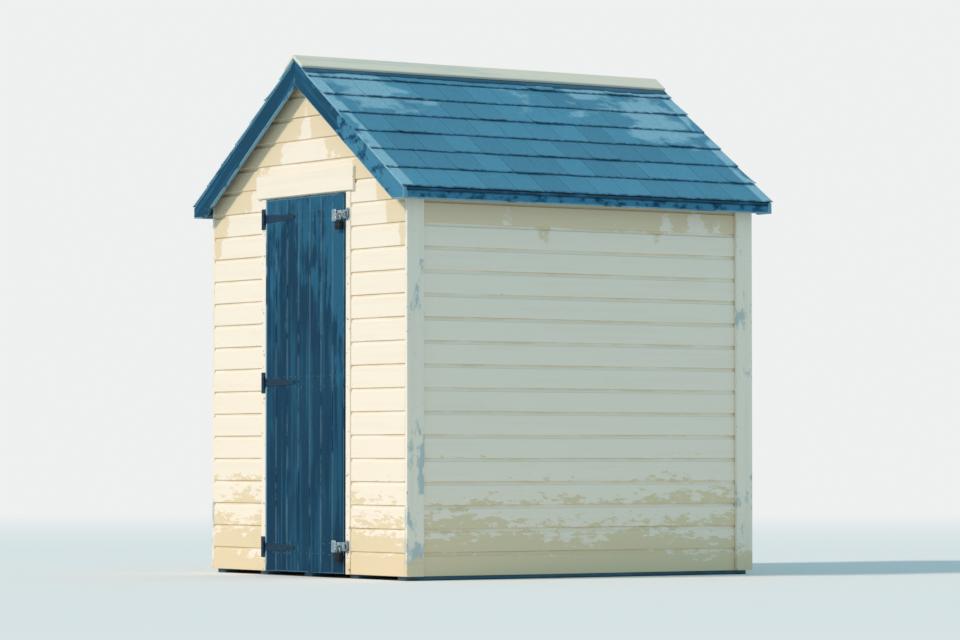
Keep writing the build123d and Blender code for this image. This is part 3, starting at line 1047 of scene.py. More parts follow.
@effect
def settled_grime(g: Graph, place: Field, crevice: Field, amount: Field) -> dict[str, Field]:
    """Dirt in laps, grooves and under heads, broken along its length."""
    return {"Grime": (crevice * (g.noise(place, (3.4, 3.4, 6.8), 3.0, 0.6) + amount)).ramp(0.62, 0.95)}


@effect
def speckled_rust(g: Graph, place: Field, edge: Field, amount: Field) -> dict[str, Field]:
    """Rust that starts at edges and spreads in clouds, and the pits that it leaves."""
    cloud = g.noise(place, 42.0, 5.0, 0.7) + edge * 0.16 + amount
    return {"Rust": cloud.ramp(0.66, 0.78), "Pit": g.noise(place, 900.0)}


class Finish:
    """What every finish shares: the making of its material."""

    def make(self, slot: Slot) -> None:
        """Make the material of a slot.

        Args:
            slot: The slot.
        """
        material = bpy.data.materials.new(slot.finish)
        material.use_nodes = True
        g = Graph(material.node_tree)
        sockets = self.sockets(g)
        g.close(g.node("BsdfPrincipled", {"Base Color": g.colour} | sockets))

    def sockets(self, g: Graph) -> dict[str, Value]:
        """Lay the coats, and say what goes into the shader's other sockets."""
        raise NotImplementedError

    def cover(self, g: Graph) -> None:
        """Lay the coats that one finish adds to its kind's."""


@dataclass(frozen=True)
class BareTimber(Finish):
    """Sawn or planed softwood with no paint."""

    early: Colour
    late: Colour
    weathered: Colour
    saw: float = 0.0006
    grime: float = 0.2

    def sockets(self, g: Graph) -> dict[str, Value]:
        """Lay growth rings, knots, stains and dirt over each other, and saw marks in the relief.

        Args:
            g: The material's graph.

        Returns:
            Values of the other sockets.
        """
        reads, wood = g.surface, g.use(timber_grain)
        g.colour = self.early
        g.coat(wood["Figure"], self.late)
        g.coat(wood["Fibre"].ramp(0.35, 0.75, 0.0, 0.35), self.late)
        g.coat(wood["Knot"] * 0.7, darker(self.late, 0.35))
        stain = g.noise(reads.place, 2.3, 4.0, 0.65)
        g.coat(stain.ramp(0.62 - 0.5 * self.grime, 0.95 - 0.4 * self.grime), self.weathered)
        dirt = g.use(settled_grime, crevice=reads.crevice.most(reads.edge), amount=self.grime)
        g.coat(dirt * 0.7, self.weathered)
        g.dim(reads.tone.between(0.82, 1.08))
        self.cover(g)
        saw_lines = g.noise(reads.grain, (260.0, 3.0, 1.0), 1.0)
        relief = g.bump(wood["Fibre"] * 0.6 + saw_lines * 0.4, self.saw)
        return {"Roughness": wood["Figure"].between(0.85, 0.7), "Normal": relief}


@dataclass(frozen=True, kw_only=True)
class SoffitTimber(BareTimber):
    """Roof boards, bare inside the hut and painted outside its walls."""

    hut: Hut
    paint: Colour
    faded: Colour

    def cover(self, g: Graph) -> None:
        """Paint what is outside the walls.

        Args:
            g: The material's graph.
        """
        x, y, _ = g.surface.place.axes
        outside = x.size.above(self.hut.frame_x).most(y.size.above(self.hut.frame_y))
        g.coat(outside, g.noise(g.surface.place, 9.0, 3.0).ramp(0.45, 0.7).mix(self.paint, self.faded))


@dataclass(frozen=True, kw_only=True)
class PaintedTimber(Finish):
    """Oil paint on boards: brushed, faded in streaks, soiled, knocked and flaking.

    Knock is how far paint is gone from the edges, flake how much has come off elsewhere, splash how high the
    ground's splashes reach and rim how much of the boards' edges has faded.
    """

    paint: Colour
    faded: Colour
    soiled: Colour
    bare: Colour
    # Colour of the painted pale highlight along edges, which stands in for light falling on them.
    rubbed: Colour = (0.22, 0.41, 0.52)
    fade: float = 0.6
    knock: float = 0.34
    flake: float = -0.04
    grime: float = 0.4
    held: float = 0.8
    splash: float = 0.0
    rim: float = 0.0
    gloss: float = 0.16

    def sockets(self, g: Graph) -> dict[str, Value]:
        """Lay fading, dirt, splashes, worn edges and flakes over the paint, and its film in the relief.

        Args:
            g: The material's graph.

        Returns:
            Values of the other sockets.
        """
        reads, place = g.surface, g.surface.place
        wood, streaks = g.use(timber_grain), g.use(faded_streaks)
        g.colour = self.paint
        g.coat(streaks["Streak"] * self.fade, self.faded)
        drift = reads.tone * 0.4 + g.noise(place, 1.7, 3.0, 0.6)
        g.coat(drift.ramp(0.55, 1.15, 0.0, 0.5 * self.fade), self.faded)
        self.cover(g)
        # Painted highlight: a pale, broken rim along the boards' edges stands in for light on them.
        if self.rim:
            kept = g.noise(place, 5.0, 4.0, 0.6).ramp(0.36, 0.52, 0.4, 1.0)
            rubbed = (reads.edge * kept - g.noise(place, 90.0, 3.0) * 0.5).ramp(0.1, 0.4)
            g.coat(rubbed * self.rim, self.rubbed)
        g.coat(g.use(settled_grime, amount=self.grime) * self.held, self.soiled)
        if self.splash:
            g.coat(g.use(splashed_foot, reach=self.splash) * 0.92, self.soiled)
        flakes, worn = g.use(flaked_paint, amount=self.flake), g.use(knocked_edges, amount=self.knock)
        bare = flakes["Bare"].most(worn)
        g.coat(bare, wood["Figure"].mix(self.bare, darker(self.bare, 0.6)))
        film = streaks["Brush"] * 0.22 + wood["Figure"] * 0.2 + flakes["Lift"] * 0.4 - bare * 0.5
        return {
            "Roughness": bare.between(0.42, 0.85) + streaks["Brush"] * 0.12,
            "Specular IOR Level": self.gloss,
            "Normal": g.bump(film + wood["Fibre"] * bare.between(0.08, 0.3), 0.0011),
        }


@dataclass(frozen=True, kw_only=True)
class WallPaint(PaintedTimber):
    """Cream wall paint, with dirt in steps under the roof's edges."""

    hut: Hut
    shade_reach: float = 0.23
    side_less: float = 0.05

    def cover(self, g: Graph) -> None:
        """Soil each board under the sloping roof edge as far as its own uneven reach.

        Args:
            g: The material's graph.
        """
        hut, level, (x, y, z) = self.hut, g.surface.level, g.surface.place.axes
        across = x.size
        fall = across * hut.slope - across.ramp(hut.frame_x, hut.wall_x, 0.0, self.side_less)
        height = level * 0.75 + z * 0.25 + fall
        stepped = g.node("CombineXYZ", {0: x, 1: y, 2: level * 29.0})
        broad = g.noise(stepped, 3.2).ramp(0.3, 0.7, 0.75 * self.shade_reach, 1.35 * self.shade_reach)
        ragged = g.noise(g.surface.place, (26.0, 26.0, 40.0), 3.0, 0.6).ramp(0.3, 0.7, -0.012, 0.012)
        # The tan band is painted shade of the roof's overhang, with dirt in it.
        soiled = (broad + ragged + height - (hut.roof_z(0.0, hut.under) - 0.05)).ramp(-0.004, 0.012)
        g.coat(soiled * 0.85, self.soiled)


@dataclass(frozen=True, kw_only=True)
class TrimPaint(PaintedTimber):
    """Cream paint on the trims, with damp in blue-green spots on the corner boards."""

    damp: Colour = (0.19, 0.38, 0.46)

    def cover(self, g: Graph) -> None:
        """Spot the paint with damp, most of it near the ground.

        Args:
            g: The material's graph.
        """
        x, _, z = g.surface.place.axes
        corner = x.size.ramp(0.88, 0.90, -0.2, 0.0)
        # Painted shade: blue-green spots stand in for shade on the corner boards.
        spots = g.noise(g.surface.place, (9.0, 9.0, 4.0), 4.0, 0.7) + z.ramp(0.1, 0.6, 0.10, 0.0) + corner
        g.coat(spots.ramp(0.57, 0.66, 0.0, 0.55), self.damp)


@dataclass(frozen=True, kw_only=True)
class BargePaint(PaintedTimber):
    """Blue paint of the bargeboards, bleached in clouds down the right-hand slope."""

    bleached: Colour

    def cover(self, g: Graph) -> None:
        """Bleach the paint more the nearer it is to the right-hand eaves.

        Args:
            g: The material's graph.
        """
        right = g.surface.place.axes[0].ramp(0.05, 0.7, -0.2, 0.06)
        clouds = g.noise(g.surface.place, (11.0, 11.0, 15.0), 4.0, 0.7) + right
        g.coat(clouds.ramp(0.44, 0.58) * 0.75, self.bleached)


@dataclass(frozen=True, kw_only=True)
class DoorPaint(PaintedTimber):
    """Blue door paint, bleached most near its top and beside the hasps, and rubbed at its hinged edge."""

    def cover(self, g: Graph) -> None:
        """Bleach the paint in streaks towards its top and its free edge, and rub its other edge.

        Args:
            g: The material's graph.
        """
        place, (left, right) = g.surface.place, box("door_boards")[:, 0]
        x, _, z = place.axes
        streak = g.noise(place, (44.0, 44.0, 4.4), 3.0, 0.6)
        broken = g.noise(place, (7.0, 7.0, 4.9), 3.0, 0.6)
        high = z.ramp(0.6, 1.95, -0.16, 0.10)
        free = x.ramp(right - 0.115, right - 0.105) * z.ramp(0.2, 0.9, 0.05, 0.12)
        g.coat(((streak + broken) * 0.5 + high + free).ramp(0.5, 0.62) * 0.75, self.faded)
        # Painted highlight: a pale strip along the hinged edge stands in for sky light reflected there.
        hinged = x.ramp(left + 0.010, left + 0.020, 0.8, 0.0)
        g.coat(hinged * g.noise(place, 4.0, 3.0).ramp(0.38, 0.46), self.rubbed)


@dataclass(frozen=True)
class MineralFelt(Finish):
    """Felt shingles with crushed slate granules, bleached in patches and dark at their edges."""

    hut: Hut
    stone: Colour
    bleached: Colour
    dark: Colour

    def sockets(self, g: Graph) -> dict[str, Value]:
        """Lay bleached clouds, pale verges, granules and dark rims over the stone.

        Args:
            g: The material's graph.

        Returns:
            Values of the other sockets.
        """
        reads, place, hut = g.surface, g.surface.place, self.hut
        _, y, z = place.axes
        g.colour = self.stone
        g.coat(reads.tone * 0.30, self.dark)
        upper = z.ramp(hut.roof_z(0.75, 0.0), hut.roof_z(0.25, 0.0), -0.16, 0.06)
        patch = (g.noise(place, (3.1, 1.7, 3.1), 4.0, 0.62) + upper).ramp(0.56, 0.64)
        verge = y.size.ramp(hut.verge - 0.075, hut.verge - 0.06)
        g.coat((patch * 0.85).most(verge * g.noise(place, 5.0).ramp(0.42, 0.5)), self.bleached)
        stones = g.node("TexVoronoi", {"Vector": place, "Scale": 420.0})
        g.dim(stones["Color"].red.between(0.78, 1.18))
        # Dark rims at the butts; the crevice mark darkens the ridge strip as painted shade.
        rim = reads.edge * g.noise(place, 34.0, 3.0).ramp(0.3, 0.6)
        g.coat(rim.most(reads.crevice), self.dark)
        return {"Roughness": 0.88, "Normal": g.bump(stones["Distance"].ramp(0.0, 0.6, 1.0, 0.0), 0.0012)}


@dataclass(frozen=True)
class Galvanised(Finish):
    """Zinc on steel: spangled, chalked with white rust and browning at its edges."""

    zinc: Colour
    chalk: Colour
    rust: float = 0.02

    def sockets(self, g: Graph) -> dict[str, Value]:
        """Lay chalk, grime and rust over the spangles, and dull the metal under them.

        Args:
            g: The material's graph.

        Returns:
            Values of the other sockets.
        """
        place = g.surface.place
        facet = g.node("TexVoronoi", {"Vector": place, "Scale": 130.0})["Color"].red
        dull, red = g.noise(place, 38.0, 5.0, 0.7).ramp(0.45, 0.7), g.use(speckled_rust, amount=self.rust)
        g.colour = self.zinc
        g.coat(facet * 0.45, darker(self.zinc, 0.6))
        g.coat(dull * 0.6, self.chalk)
        g.coat(g.use(settled_grime, amount=0.5) * 0.7, RUST)
        g.coat(red, RUST)
        return {
            "Metallic": red["Rust"].between(0.9, 0.1),
            "Roughness": (dull.between(0.38, 0.72) + facet * 0.12).most(red["Rust"] * 0.9),
            "Normal": g.bump(red["Pit"] * red["Rust"] + dull * 0.3, 0.0003),
        }


@dataclass(frozen=True)
class PaintedIron(Finish):
    """Paint over iron, chalked and chipped to rust at its edges."""

    paint: Colour
    faded: Colour
    chip: float
    sheen: float = 0.5

    def sockets(self, g: Graph) -> dict[str, Value]:
        """Lay chalk, grime and chips over the paint.

        Args:
            g: The material's graph.

        Returns:
            Values of the other sockets.
        """
        place = g.surface.place
        chalk, chips = g.noise(place, 24.0, 4.0, 0.65).ramp(0.4, 0.75), g.use(speckled_rust, amount=self.chip)
        g.colour = self.paint
        g.coat(chalk * 0.7, self.faded)
        g.coat(g.use(settled_grime, amount=0.35) * 0.5, RUST)
        g.coat(chips["Rust"], RUST)
        rust, runs = chips["Rust"], g.noise(place, 160.0)
        return {
            "Roughness": rust.between(self.sheen, 0.9) + chalk * 0.15,
            "Specular IOR Level": 0.2,
            "Normal": g.bump(runs * 0.5 - rust * 0.6 + chips["Pit"] * rust * 0.5, 0.0004),
        }


RUST = srgb(118, 66, 38)
CREAM, TAN = srgb(246, 234, 216), srgb(229, 209, 172)
NAVY, NAVY_FADED = srgb(12, 66, 92), srgb(38, 102, 138)
BARE_PALE, BARE_GREY = srgb(188, 164, 130), srgb(132, 134, 130)


def make_finishes(hut: Hut) -> None:
    """Make every finish, each under its slot's name.

    Args:
        hut: Places that some of them are bounded by.
    """
    finishes = {
        Slot.BEARER: BareTimber(srgb(104, 150, 172), srgb(66, 110, 136), srgb(40, 78, 102), 0.0014, 0.5),
        Slot.DECK: BareTimber(srgb(186, 166, 134), srgb(140, 116, 86), srgb(112, 104, 92), grime=0.5),
        Slot.FRAME: BareTimber(srgb(222, 196, 154), srgb(190, 150, 104), srgb(144, 120, 92)),
        Slot.BOARDING: SoffitTimber(
            srgb(214, 190, 152), srgb(180, 142, 100), srgb(136, 114, 90),
            hut=hut, paint=NAVY, faded=NAVY_FADED,
        ),
        Slot.WALL: WallPaint(
            hut=hut, paint=CREAM, faded=srgb(240, 224, 200), soiled=TAN, bare=BARE_PALE,
            fade=0.3, knock=0.3, flake=-0.1, grime=0.34, held=0.7, splash=0.42,
        ),
        Slot.TRIM: TrimPaint(
            paint=CREAM, faded=srgb(236, 225, 203), soiled=TAN, bare=BARE_PALE,
            fade=0.4, knock=0.36, grime=0.3, splash=0.34,
        ),
        Slot.RIDGE: PaintedTimber(
            paint=srgb(232, 224, 204), faded=srgb(206, 212, 198), soiled=srgb(160, 166, 154),
            bare=BARE_GREY, fade=0.7, flake=-0.06,
        ),
        Slot.BARGE: BargePaint(
            paint=NAVY, faded=NAVY_FADED, bleached=srgb(74, 140, 170), soiled=srgb(20, 52, 70),
            bare=BARE_GREY, knock=0.32, rim=0.8, gloss=0.07,
        ),
        Slot.DOOR: DoorPaint(
            paint=srgb(6, 54, 80), faded=srgb(38, 100, 130), soiled=srgb(6, 36, 54),
            bare=srgb(100, 122, 128), fade=0.4, knock=0.36, flake=-0.02, grime=0.5, rim=0.3, gloss=0.07,
        ),
        Slot.SHINGLE: MineralFelt(hut, srgb(78, 152, 182), srgb(142, 194, 214), srgb(28, 82, 112)),
        Slot.HINGE: PaintedIron(srgb(8, 44, 66), srgb(18, 66, 92), -0.03),
        Slot.GALVANISED: Galvanised(srgb(150, 176, 188), srgb(206, 216, 214)),
        Slot.PADLOCK: PaintedIron(srgb(6, 18, 28), srgb(16, 34, 46), -0.08, 0.42),
    }
    for slot, finish in finishes.items():
        finish.make(slot)


@dataclass
class Base:
    """Bearers from front to back, the deck's boards across them, and the door's sill."""

    bearer_count: int = 5
    bearer_face: float = 0.070
    board: float = 0.115
    gap: float = 0.002
    screw: float = 0.030
    soften: float = 0.004
    seed: int = 11

    def build(self) -> None:
        """Make the base, with two screws where a board crosses a bearer."""
        under, deck = box("floor_bearers"), box("floor_deck")
        left = np.linspace(under[0, 0], under[1, 0] - self.bearer_face, self.bearer_count)
        x = weave(left, left + self.bearer_face)
        bearers = timbers(x, under[:, 1], under[:, 2], Y, self.seed, self.soften)
        bearers.publish("bearers", Slot.BEARER, "floor_bearers")
        joints = np.linspace(*deck[:, 1], round(np.ptp(deck[:, 1]) / self.board) + 1)
        y = weave(joints[:-1] + self.gap / 2, joints[1:] - self.gap / 2)
        boards = timbers(deck[:, 0], y, deck[:, 2], X, self.seed + 1)
        boards.publish("deck_boards", Slot.DECK, "floor_deck")
        screws = grid(x.mean(1), y.mean(1)[:, None] + BOTH * self.screw, deck[1, 2])
        heads = turned(screws, Z, Turning.DECK_SCREW.value, self.seed + 2, sides=8)
        heads.publish("deck_screws", Slot.GALVANISED)
        sill = timbers(*box("door_sill").T, X, self.seed + 3, self.soften)
        sill.publish("door_sill_board", Slot.DECK, "door_sill")


@dataclass
class Framing:
    """Sawn studs, plates, ties and rafters inside the walls and the roof."""

    hut: Hut
    stud: float = 0.038
    rafter_depth: float = 0.060
    side_studs: int = 4
    stud_bow: float = 0.0004
    beam_bow: float = 0.0003
    seed: int = 20

    def rows(self) -> Array:
        """Places from front to back of the side studs and of the rafters over them."""
        return np.linspace(-1, 1, self.side_studs + 2) * (self.hut.frame_y - self.stud / 2)

    def raked(self, x: float, y: float, foot: float, seed: int) -> Surface:
        """Stand a stud on either side, with its top cut to the rafters' underside.

        Args:
            x: Distance of their middles from the hut's middle.
            y: Place from front to back.
            foot: Height of their feet.
            seed: Seed of their own numbers.

        Returns:
            The pair of studs.
        """
        section = Section.timber(self.stud, self.hut.frame_y - self.hut.inner_y)
        origin = weave(BOTH * x, y, 0.0)
        place = origin[:, :1] - section.outline[:, 0]
        top = self.hut.roof_z(place, self.hut.under + self.rafter_depth) - CUT_GAP
        return section.run(origin, Z, -Y, weave(foot, top), seed, bow=self.stud_bow)

    def gable(self, end: End) -> list[Surface]:
        """Frame a gable wall with studs, sole plates and a tie.

        Args:
            end: End of the hut.

        Returns:
            The timbers.
        """
        hut, half, seed = self.hut, self.stud / 2, self.seed + 5 * end
        foot, ties = box("sole_plates")[1, 2], box("gable_ties")[:, 2]
        y = end.span(hut.inner_y, hut.frame_y)
        middle = np.array([0.0, np.mean(y), ties.mean()])
        tie = Section.timber(np.ptp(ties), y[1] - y[0])
        reach = hut.roof_x(middle[2] + tie.outline[:, 0], hut.under + self.rafter_depth)
        shapes = [
            self.raked(hut.frame_x - half, middle[1], foot, seed),
            self.raked(hut.post_x + half, middle[1], ties[1], seed + 1),
            timbers((-half, half), y, (ties[1], box("ridge_board")[0, 2]), Z, seed + 2),
            tie.run(middle, X, -Y, weave(-reach, reach)[None], seed + 3, bow=self.beam_bow),
        ]
        for side in Side:
            jamb = side.span(hut.post_x, hut.post_x + self.stud)
            sole = side.span(hut.post_x if end is End.FRONT else 0.0, hut.frame_x)
            shapes.append(timbers(jamb, y, (foot, ties[0]), Z, seed + 4))
            shapes.append(timbers(sole, y, (hut.deck_top, foot), X, seed + 5))
        return shapes

    def flank(self, side: Side) -> list[Surface]:
        """Frame a side wall with studs, a sole plate and a wall plate cut to the slope.

        Args:
            side: Side of the hut.

        Returns:
            The timbers.
        """
        hut, out, seed = self.hut, side * X, self.seed + 20 + 5 * side
        foot, top = box("sole_plates")[1, 2], box("wall_plates")[0, 2]
        x, reach = side.span(hut.frame_x, hut.inner_x), (-hut.inner_y, hut.inner_y)
        y = self.rows()[1:-1, None] + BOTH * self.stud / 2
        inner, outer = hut.roof_z(np.array([hut.inner_x, hut.frame_x]), hut.under + self.rafter_depth)
        half = (x[1] - x[0]) / 2
        rake = Section(np.array([(top, -half), (inner, -half), (outer, half), (top, half)]))
        return [
            timbers(x, y, (foot, top), Z, seed),
            timbers(x, reach, (hut.deck_top, foot), Y, seed + 1),
            rake.run(np.mean(x) * X, np.cross(Z, out), out, reach, seed + 2),
        ]

    def roof(self) -> list[Surface]:
        """Set up the ridge board, and the pairs of rafters that butt against it.

        Returns:
            The timbers.
        """
        hut, (low, high) = self.hut, box("ridge_board")
        half, shoulder = high[0], hut.roof_z(high[0], hut.under)
        peak = [(low[2], -half), (shoulder, -half), (high[2], 0.0), (shoulder, half), (low[2], half)]
        shapes = [Section(np.array(peak)).run(0 * X, Y, X, (low[1], high[1]), self.seed + 30)]
        section = Section.timber(self.stud, self.rafter_depth)
        middle = hut.under + self.rafter_depth / 2
        shift = (middle - section.outline[:, 1]) * sin(hut.pitch)
        span = weave(half + shift, hut.frame_x + shift)[None] / cos(hut.pitch)
        for side in Side:
            origin = walk(hut.on_slope(side, 0.0, middle), (self.rows(), Y))
            down, out, seed = hut.downhill(side), hut.facing(side), self.seed + 32 + side
            shapes.append(section.run(origin, down, out, span, seed, bow=self.beam_bow))
        return shapes

    def build(self) -> None:
        """Make the framing."""
        walls = sum([*map(self.gable, End), *map(self.flank, Side)], [])
        nodes = ("sole_plates", "front_studs", "rear_studs", "side_studs", "wall_plates", "gable_ties")
        Surface.join(*walls).publish("wall_framing", Slot.FRAME, *nodes)
        Surface.join(*self.roof()).publish("roof_framing", Slot.FRAME, "ridge_board", "rafters")


@dataclass
class Cladding:
    """Shiplap on all four walls, lapped from the foot up, and its painted nails."""

    hut: Hut
    cover: float = 0.114
    squeeze: float = 0.004
    end_gap: float = 0.001
    post_gap: float = 0.0005
    peak_gap: float = 0.012
    lowest_strip: float = 0.004
    station: float = 0.35
    bow: float = 0.0007
    nail_rise: float = 0.024
    nail_stray: tuple[float, float] = (0.004, 0.002)
    nail_clear: float = 0.02
    stud: float = 0.038
    seed: int = 60

    def wall(
        self,
        out: Array,
        bases: Array,
        span: tuple[float, float] | list[float],
        rows: Array,
        seed: int,
        lowest: float = 0.0,
        highest: float = 10.0,
    ) -> Surface:
        """Lay courses on one wall, cut to the roof at its gables, and nail them to its studs.

        What a cut takes off a board's section is squeezed to next to nothing, so that every board keeps its
        points.

        Args:
            out: Direction that the wall faces.
            bases: Lower edge of each course.
            span: Where the wall starts and ends, from left to right as seen from outside.
            rows: Places of the studs across the wall.
            seed: Seed of the boards' own numbers.
            lowest: Height that boards are cut off at below.
            highest: Height that they are cut off at above.

        Returns:
            The boards and the nails' heads.
        """
        hut, along, gable = self.hut, np.cross(Z, out), abs(out[1])
        back, thick = hut.frame_y if gable else hut.frame_x, hut.wall_y - hut.frame_y
        section = Section.shiplap(self.cover, thick)
        whole = np.tile(section.outline[:, 0], (len(bases), 1))
        cut = np.clip(whole, lowest - bases[:, None], highest - bases[:, None])
        rise = cut + (whole - cut) * self.squeeze
        reach = np.inf
        if gable:
            reach = (hut.roof_x(rise + bases[:, None], hut.under) - self.end_gap).clip(2 * self.end_gap)
        ends = weave(*(np.clip(place, -reach, reach) for place in span))
        line, stations = bases[:, None] * Z + back * out, max(2, round((span[1] - span[0]) / self.station))
        boards = section.run(
            line, along, out, ends, seed, bow=self.bow, stations=stations, rise=rise, level=bases,
        )
        rng, (stray, lift) = np.random.default_rng(seed + 1), self.nail_stray
        place, base = (values.ravel() for values in np.meshgrid(rows, bases + self.nail_rise))
        place, base = place + rng.normal(0, stray, place.size), base + rng.normal(0, lift, place.size)
        centres = walk((back + thick) * out, (place, along), (base, Z))
        centres = centres[centres[:, 2] < hut.roof_z(centres[:, 0], hut.under) - self.nail_clear]
        return Surface.join(boards, turned(centres, out, Turning.WALL_NAIL.value, seed, sides=10))

    def build(self) -> None:
        """Make the four walls, the front one in three pieces round the door."""
        hut, wide, deep, walls = self.hut, self.hut.wall_x, self.hut.frame_y, {}
        peak = hut.roof_z(0.0, hut.under) - self.peak_gap
        courses = hut.foot + self.cover * np.arange(int((peak - hut.foot) / self.cover) + 1)
        beside, above = courses[courses < hut.head_top], courses[courses >= hut.head_top]
        jamb, corner = hut.post_x + self.stud / 2, hut.frame_x - self.stud / 2
        rows = np.array([-corner, -jamb, 0.0, jamb, corner])
        for side in Side:
            span, seed = side.span(hut.post_x + self.post_gap, wide), self.seed + 5 * side
            walls[f"front_wall_{side.label}"] = self.wall(-Y, beside, span, side * rows[3:], seed)
        middle, whole = (-hut.post_x, hut.post_x), (-wide, wide)
        strip = self.wall(-Y, beside[-1:], middle, rows[:0], self.seed + 7, lowest=hut.head_top)
        gable = self.wall(-Y, above, whole, rows, self.seed + 9, highest=peak)
        walls["front_gable"] = Surface.join(strip, gable)
        walls["rear_wall"] = self.wall(Y, courses, whole, rows, self.seed + 11, highest=peak)
        eaves = hut.roof_z(wide, hut.under) - self.end_gap
        low, rows = courses[courses < eaves - self.lowest_strip], Framing(hut).rows()[1:-1]
        for side in Side:
            out, seed = side * X, self.seed + 15 + side
            walls[f"{side.label}_wall"] = self.wall(out, low, (-deep, deep), rows, seed, highest=eaves)
        for node, shape in walls.items():
            shape.publish(f"{node}_boards", Slot.WALL, node)


@dataclass
class Trims:
    """Corner boards, the door's frame and the board over the door."""

    hut: Hut
    face: float = 0.100
    stop: float = 0.018
    joint: float = 0.001
    chamfer: float = 0.002
    soften: float = 0.003
    wear: float = 0.005
    seed: int = 80

    def corners(self, side: Side) -> Surface:
        """Stand the two corner boards of a side, cut to the slope at their tops.

        Args:
            side: Side of the hut.

        Returns:
            The boards.
        """
        low, high = box(f"corner_boards_{side.label}")
        section = Section.timber(self.face, high[0] - low[0], self.soften)
        middle = (low[0] + high[0]) / 2
        top = self.hut.roof_z(middle + side * section.outline[:, 1], self.hut.under) - CUT_GAP
        origin = grid(middle, np.array([low[1], high[1]]) - BOTH * self.face / 2, 0.0)
        span, seed = weave(low[2], top)[None], self.seed + side
        return section.run(origin, Z, side * X, span, seed, bow=0.0009, stations=5)

    def post(self, side: Side) -> Surface:
        """Stand a door post, notched over the deck's edge.

        Args:
            side: Side of the hut.

        Returns:
            The post.
        """
        low, high = box(f"door_post_{side.label}")
        notch, deck = -self.hut.frame_y, self.hut.deck_top
        foot = [(low[1], low[2]), (notch, low[2]), (notch, deck), (high[1], deck)]
        outline = np.array(foot + [(high[1], high[2]), (low[1], high[2])])
        plane, thick, seed = Plane(low[0] * X, Y), high[0] - low[0], self.seed + 4 + side
        return plate(plane, outline, thick, seed, self.soften, self.wear, np.pi / 2)

    def head_board(self) -> Surface:
        """Lay the board over the door, chamfered at its top and rounded at its foot.

        Returns:
            The board.
        """
        low, high = box("head_board")
        tall, thick, soft, step = high[2] - low[2], high[1] - low[1], self.soften, self.chamfer
        top = [(soft, 0.0), (tall, 0.0), (tall, thick / 2), (tall - step, thick / 2 + step)]
        foot = [(tall - thick / 2, thick), (WORN, thick), (soft, thick), (0.0, thick - soft), (0.0, soft)]
        section, line = Section(np.array(top + foot)), np.array([0.0, high[1], low[2]])
        return section.run(line, X, -Y, (low[0], high[0]), self.seed + 9, soft, bow=0.0008, stations=5)

    def stops(self) -> Surface:
        """Stop the door with strips at its sides and its top.

        Returns:
            The strips.
        """
        (low, high), seed = box("door_stops"), self.seed + 10
        y, edge, foot = (low[1], high[1]), high[0] - self.stop, high[2] - self.stop
        sides = timbers(np.array([(low[0], -edge), (edge, high[0])]), y, (low[2], high[2]), Z, seed)
        over = timbers((self.joint - edge, edge - self.joint), y, (foot, high[2]), X, seed + 1)
        return Surface.join(sides, over)

    def build(self) -> None:
        """Make the trims."""
        pieces = {f"corner_boards_{side.label}": self.corners(side) for side in Side}
        pieces |= {f"door_post_{side.label}": self.post(side) for side in Side}
        pieces |= {"head_board": self.head_board(), "door_stops": self.stops()}
        pieces["door_head"] = timbers(*box("door_head").T, X, self.seed + 8, self.soften)
        for node, shape in pieces.items():
            shape.publish(f"{node}_painted", Slot.TRIM, node)


